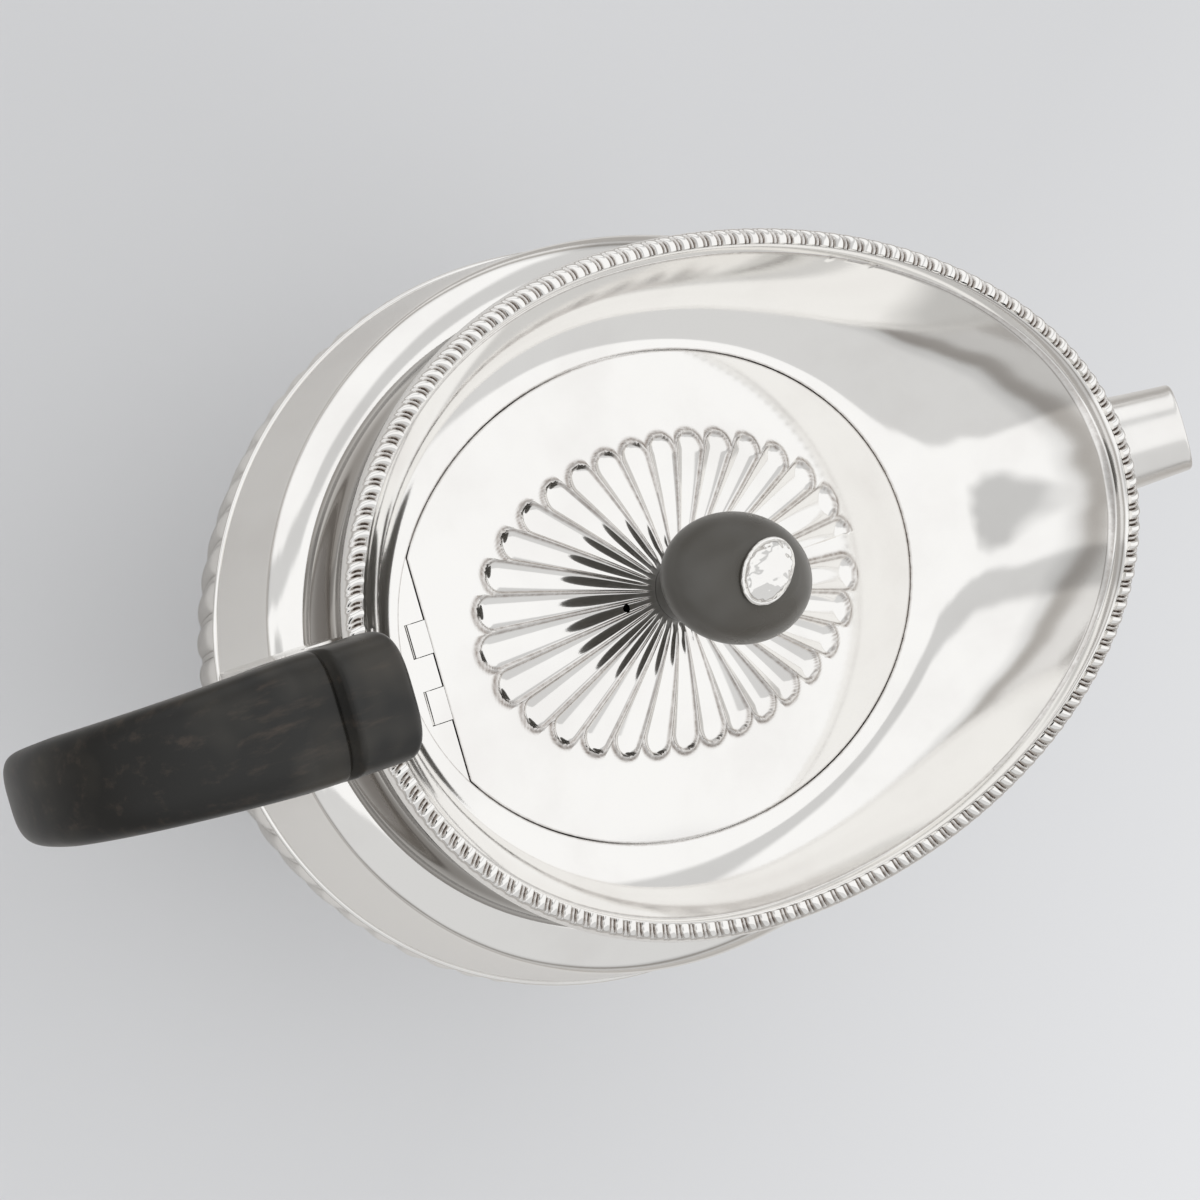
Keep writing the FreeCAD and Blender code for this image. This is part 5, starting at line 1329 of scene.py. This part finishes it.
class TEAPOT_OT_stage(bpy.types.Operator):
    """Set the floor, the light and the camera"""
    bl_idname = "teapot.stage"
    bl_label = "Stage"

    # Name, place, size and power of the lamps, which light the wood and the floor but not the silver
    lamps = (
        ("near_lamp", (0.8, -1.2, 0.9), 1.2, 9.0),
        ("far_lamp", (-0.4, 0.5, 1.6), 1.4, 1.5),
    )
    aim = Vector((0, 0, 0.06))
    # Way in which the floor's painted glow grows brighter, where that begins and ends, and by how much
    bright_way = (0.55, -0.83, 0)
    bright_span = 0.05, 0.2
    bright_gain = 1.4
    # Distances from the pot's middle between which the floor that the silver shows grows darker
    near_reach = 0.14
    far_reach = 0.36
    # Height above the horizon and tone of the surround, with a dark gap below its white tent
    surround = (
        (0.0, (0.84, 0.83, 0.82, 1)), (0.11, (0.78, 0.77, 0.76, 1)), (0.145, (0.46, 0.44, 0.42, 1)),
        (0.18, (0.42, 0.40, 0.38, 1)), (0.22, (0.82, 0.82, 0.82, 1)), (0.28, (1, 1, 1, 1)),
        (1.0, (1, 1, 1, 1)),
    )
    # Place across the pot and tone of the white panels overhead and beside it, with the grey between them
    panels = (
        (0.0, (0.70, 0.70, 0.70, 1)), (0.275, (0.70, 0.70, 0.70, 1)), (0.30, (1, 1, 1, 1)),
        (0.74, (1, 1, 1, 1)), (0.765, (0.66, 0.66, 0.66, 1)), (0.83, (0.66, 0.66, 0.66, 1)),
        (0.86, (1, 1, 1, 1)), (1.0, (1, 1, 1, 1)),
    )
    panel_span = -0.92, 1.08
    # Direction of a dull patch behind the camera, its tone, and where it begins and ends
    patch = Vector((-0.88, 0.12, 0.46))
    patch_tone = 0.60
    patch_span = 1.020, 1.046
    # How far the folds of the tent shift its edge, the panels and the patch
    edge_folds = 0.14
    panel_folds = 0.16
    patch_folds = 0.12
    # Point that the camera was fitted to, and how far the middle of the view is left of it and below it
    fitted = Vector((0.005, 0, 0.0758))
    view_left = 0.0195
    view_below = 0.00347

    def execute(self, context):
        self.floor(context)
        self.light(context)
        self.camera(context)
        context.scene.view_settings.view_transform = "Standard"
        return {"FINISHED"}

    def floor(self, context):
        """A pale floor with a glow for the camera, and tones of its own for the silver to show."""
        stage, looks = context.scene.teapot_stage, context.scene.teapot_looks
        finish, tree, shader = new_material("floor_pale")
        coords = add_node(tree, "ShaderNodeTexCoord", (-900, 0)).outputs["Object"]
        mottle = noise(tree, (-600, 0), coords, scale=3, detail=2)
        tree.links.new(spread(tree, (-300, -100), mottle, 0.42, 0.5), shader.inputs["Roughness"])
        rays = add_node(tree, "ShaderNodeLightPath", (-600, 300))
        away = add_node(tree, "ShaderNodeVectorMath", (-900, 300), operation="LENGTH")
        tree.links.new(coords, away.inputs[0])
        tones = (self.near_reach, tuple(looks.floor_near)), (self.far_reach, tuple(looks.floor_far))
        mirrored = ramp(tree, (-600, 600), away.outputs["Value"], tones)
        tint = mix_colour(tree, (-300, 200), rays.outputs["Is Camera Ray"], mirrored, tuple(looks.floor))
        tree.links.new(tint, shader.inputs["Base Color"])
        shader.inputs["Emission Color"].default_value = tuple(looks.floor)
        # Painted light: the floor's glow for the camera grows brighter one way across it
        along = reach_along(tree, (-900, -350), coords, self.bright_way)
        glow = spread(tree, (-600, -350), along, stage.floor_glow, stage.floor_glow * self.bright_gain,
                      *self.bright_span)
        seen = maths(tree, (-300, -350), "MULTIPLY", rays.outputs["Is Camera Ray"], glow)
        tree.links.new(seen, shader.inputs["Emission Strength"])
        half = stage.floor_size / 2
        verts = np.array([(-half, -half, 0), (half, -half, 0), (half, half, 0), (-half, half, 0)])
        new_piece("floor", verts, [[0, 1, 2, 3]], finish)

    def light(self, context):
        """The lamps, and a soft surround for the silver to show."""
        for name, place, size, power in self.lamps:
            lamp = bpy.data.lights.new(name, "AREA")
            lamp.shape = "DISK"
            lamp.size = size
            lamp.energy = power
            item = bpy.data.objects.new(name, lamp)
            item.location = place
            item.rotation_euler = (self.aim - Vector(place)).to_track_quat("-Z", "Y").to_euler()
            item.visible_glossy = False
            context.scene.collection.objects.link(item)
        stage = context.scene.teapot_stage
        world = bpy.data.worlds.new("surround")
        context.scene.world = world
        world.use_nodes = True
        tree = world.node_tree
        backdrop = tree.nodes["Background"]
        coords = add_node(tree, "ShaderNodeTexCoord", (-900, 0)).outputs["Generated"]
        height = add_node(tree, "ShaderNodeSeparateXYZ", (-700, 100))
        tree.links.new(coords, height.inputs["Vector"])
        folds = noise(tree, (-900, -200), coords, scale=2.2, detail=2)
        edge = maths(tree, (-550, 100), "MULTIPLY_ADD", folds, self.edge_folds, height.outputs["Z"])
        tree.links.new(ramp(tree, (-400, 100), edge, self.surround), backdrop.inputs["Color"])
        wavy = maths(tree, (-700, -300), "MULTIPLY_ADD", folds, self.panel_folds, height.outputs["Y"])
        across = spread(tree, (-550, -300), wavy, 0, 1, *self.panel_span)
        panel = ramp(tree, (-350, -300), across, self.panels)
        towards = reach_along(tree, (-700, -550), coords, self.patch)
        ragged = maths(tree, (-500, -550), "MULTIPLY_ADD", folds, self.patch_folds, towards)
        dull = spread(tree, (-350, -550), ragged, stage.sky, self.patch_tone * stage.sky, *self.patch_span)
        strength = maths(tree, (-150, -400), "MULTIPLY", panel, dull)
        tree.links.new(strength, backdrop.inputs["Strength"])

    def camera(self, context):
        """A camera with the photograph's view of the pot, rolled because the pot stands upright here."""
        stage = context.scene.teapot_stage
        azimuth, elevation, roll = stage.azimuth, stage.elevation, stage.roll
        out = Vector((math.sin(azimuth) * math.cos(elevation), -math.cos(azimuth) * math.cos(elevation),
                      math.sin(elevation)))
        level = Vector((math.cos(azimuth), math.sin(azimuth), 0))
        upward = out.cross(level)
        right = level * math.cos(roll) + upward * math.sin(roll)
        top = upward * math.cos(roll) - level * math.sin(roll)
        place = self.fitted - right * self.view_left - top * self.view_below + out * stage.distance
        data = bpy.data.cameras.new("camera")
        data.lens = stage.lens
        data.sensor_width = 36.0
        data.clip_start, data.clip_end = 0.01, 20
        item = bpy.data.objects.new("camera", data)
        item.matrix_world = Matrix.Translation(place) @ Matrix((right, top, out)).transposed().to_4x4()
        context.scene.collection.objects.link(item)
        context.scene.camera = item


OPERATORS = (
    TEAPOT_OT_materials,
    TEAPOT_OT_body,
    TEAPOT_OT_foot,
    TEAPOT_OT_neck,
    TEAPOT_OT_border,
    TEAPOT_OT_top,
    TEAPOT_OT_lid,
    TEAPOT_OT_knob,
    TEAPOT_OT_handle,
    TEAPOT_OT_sockets,
    TEAPOT_OT_spout,
    TEAPOT_OT_fittings,
    TEAPOT_OT_stage,
)


class TEAPOT_PT_panel(bpy.types.Panel):
    """Lists the teapot's build steps in the order they run"""
    bl_idname = "TEAPOT_PT_panel"
    bl_label = "Silver teapot"
    bl_space_type = "VIEW_3D"
    bl_region_type = "UI"
    bl_category = "Teapot"

    def draw(self, context):
        for operator in OPERATORS:
            self.layout.operator(operator.bl_idname)


CLASSES = tuple(GROUPS.values()) + OPERATORS + (TEAPOT_PT_panel,)


def register():
    for cls in CLASSES:
        bpy.utils.register_class(cls)
    for name, group in GROUPS.items():
        setattr(bpy.types.Scene, name, PointerProperty(type=group))


def unregister():
    for name in GROUPS:
        delattr(bpy.types.Scene, name)
    for cls in reversed(CLASSES):
        bpy.utils.unregister_class(cls)


def main():
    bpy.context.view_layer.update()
    register()
    for operator in OPERATORS:
        group, name = operator.bl_idname.split(".")
        getattr(getattr(bpy.ops, group), name)()


if __name__ == "__main__":
    main()
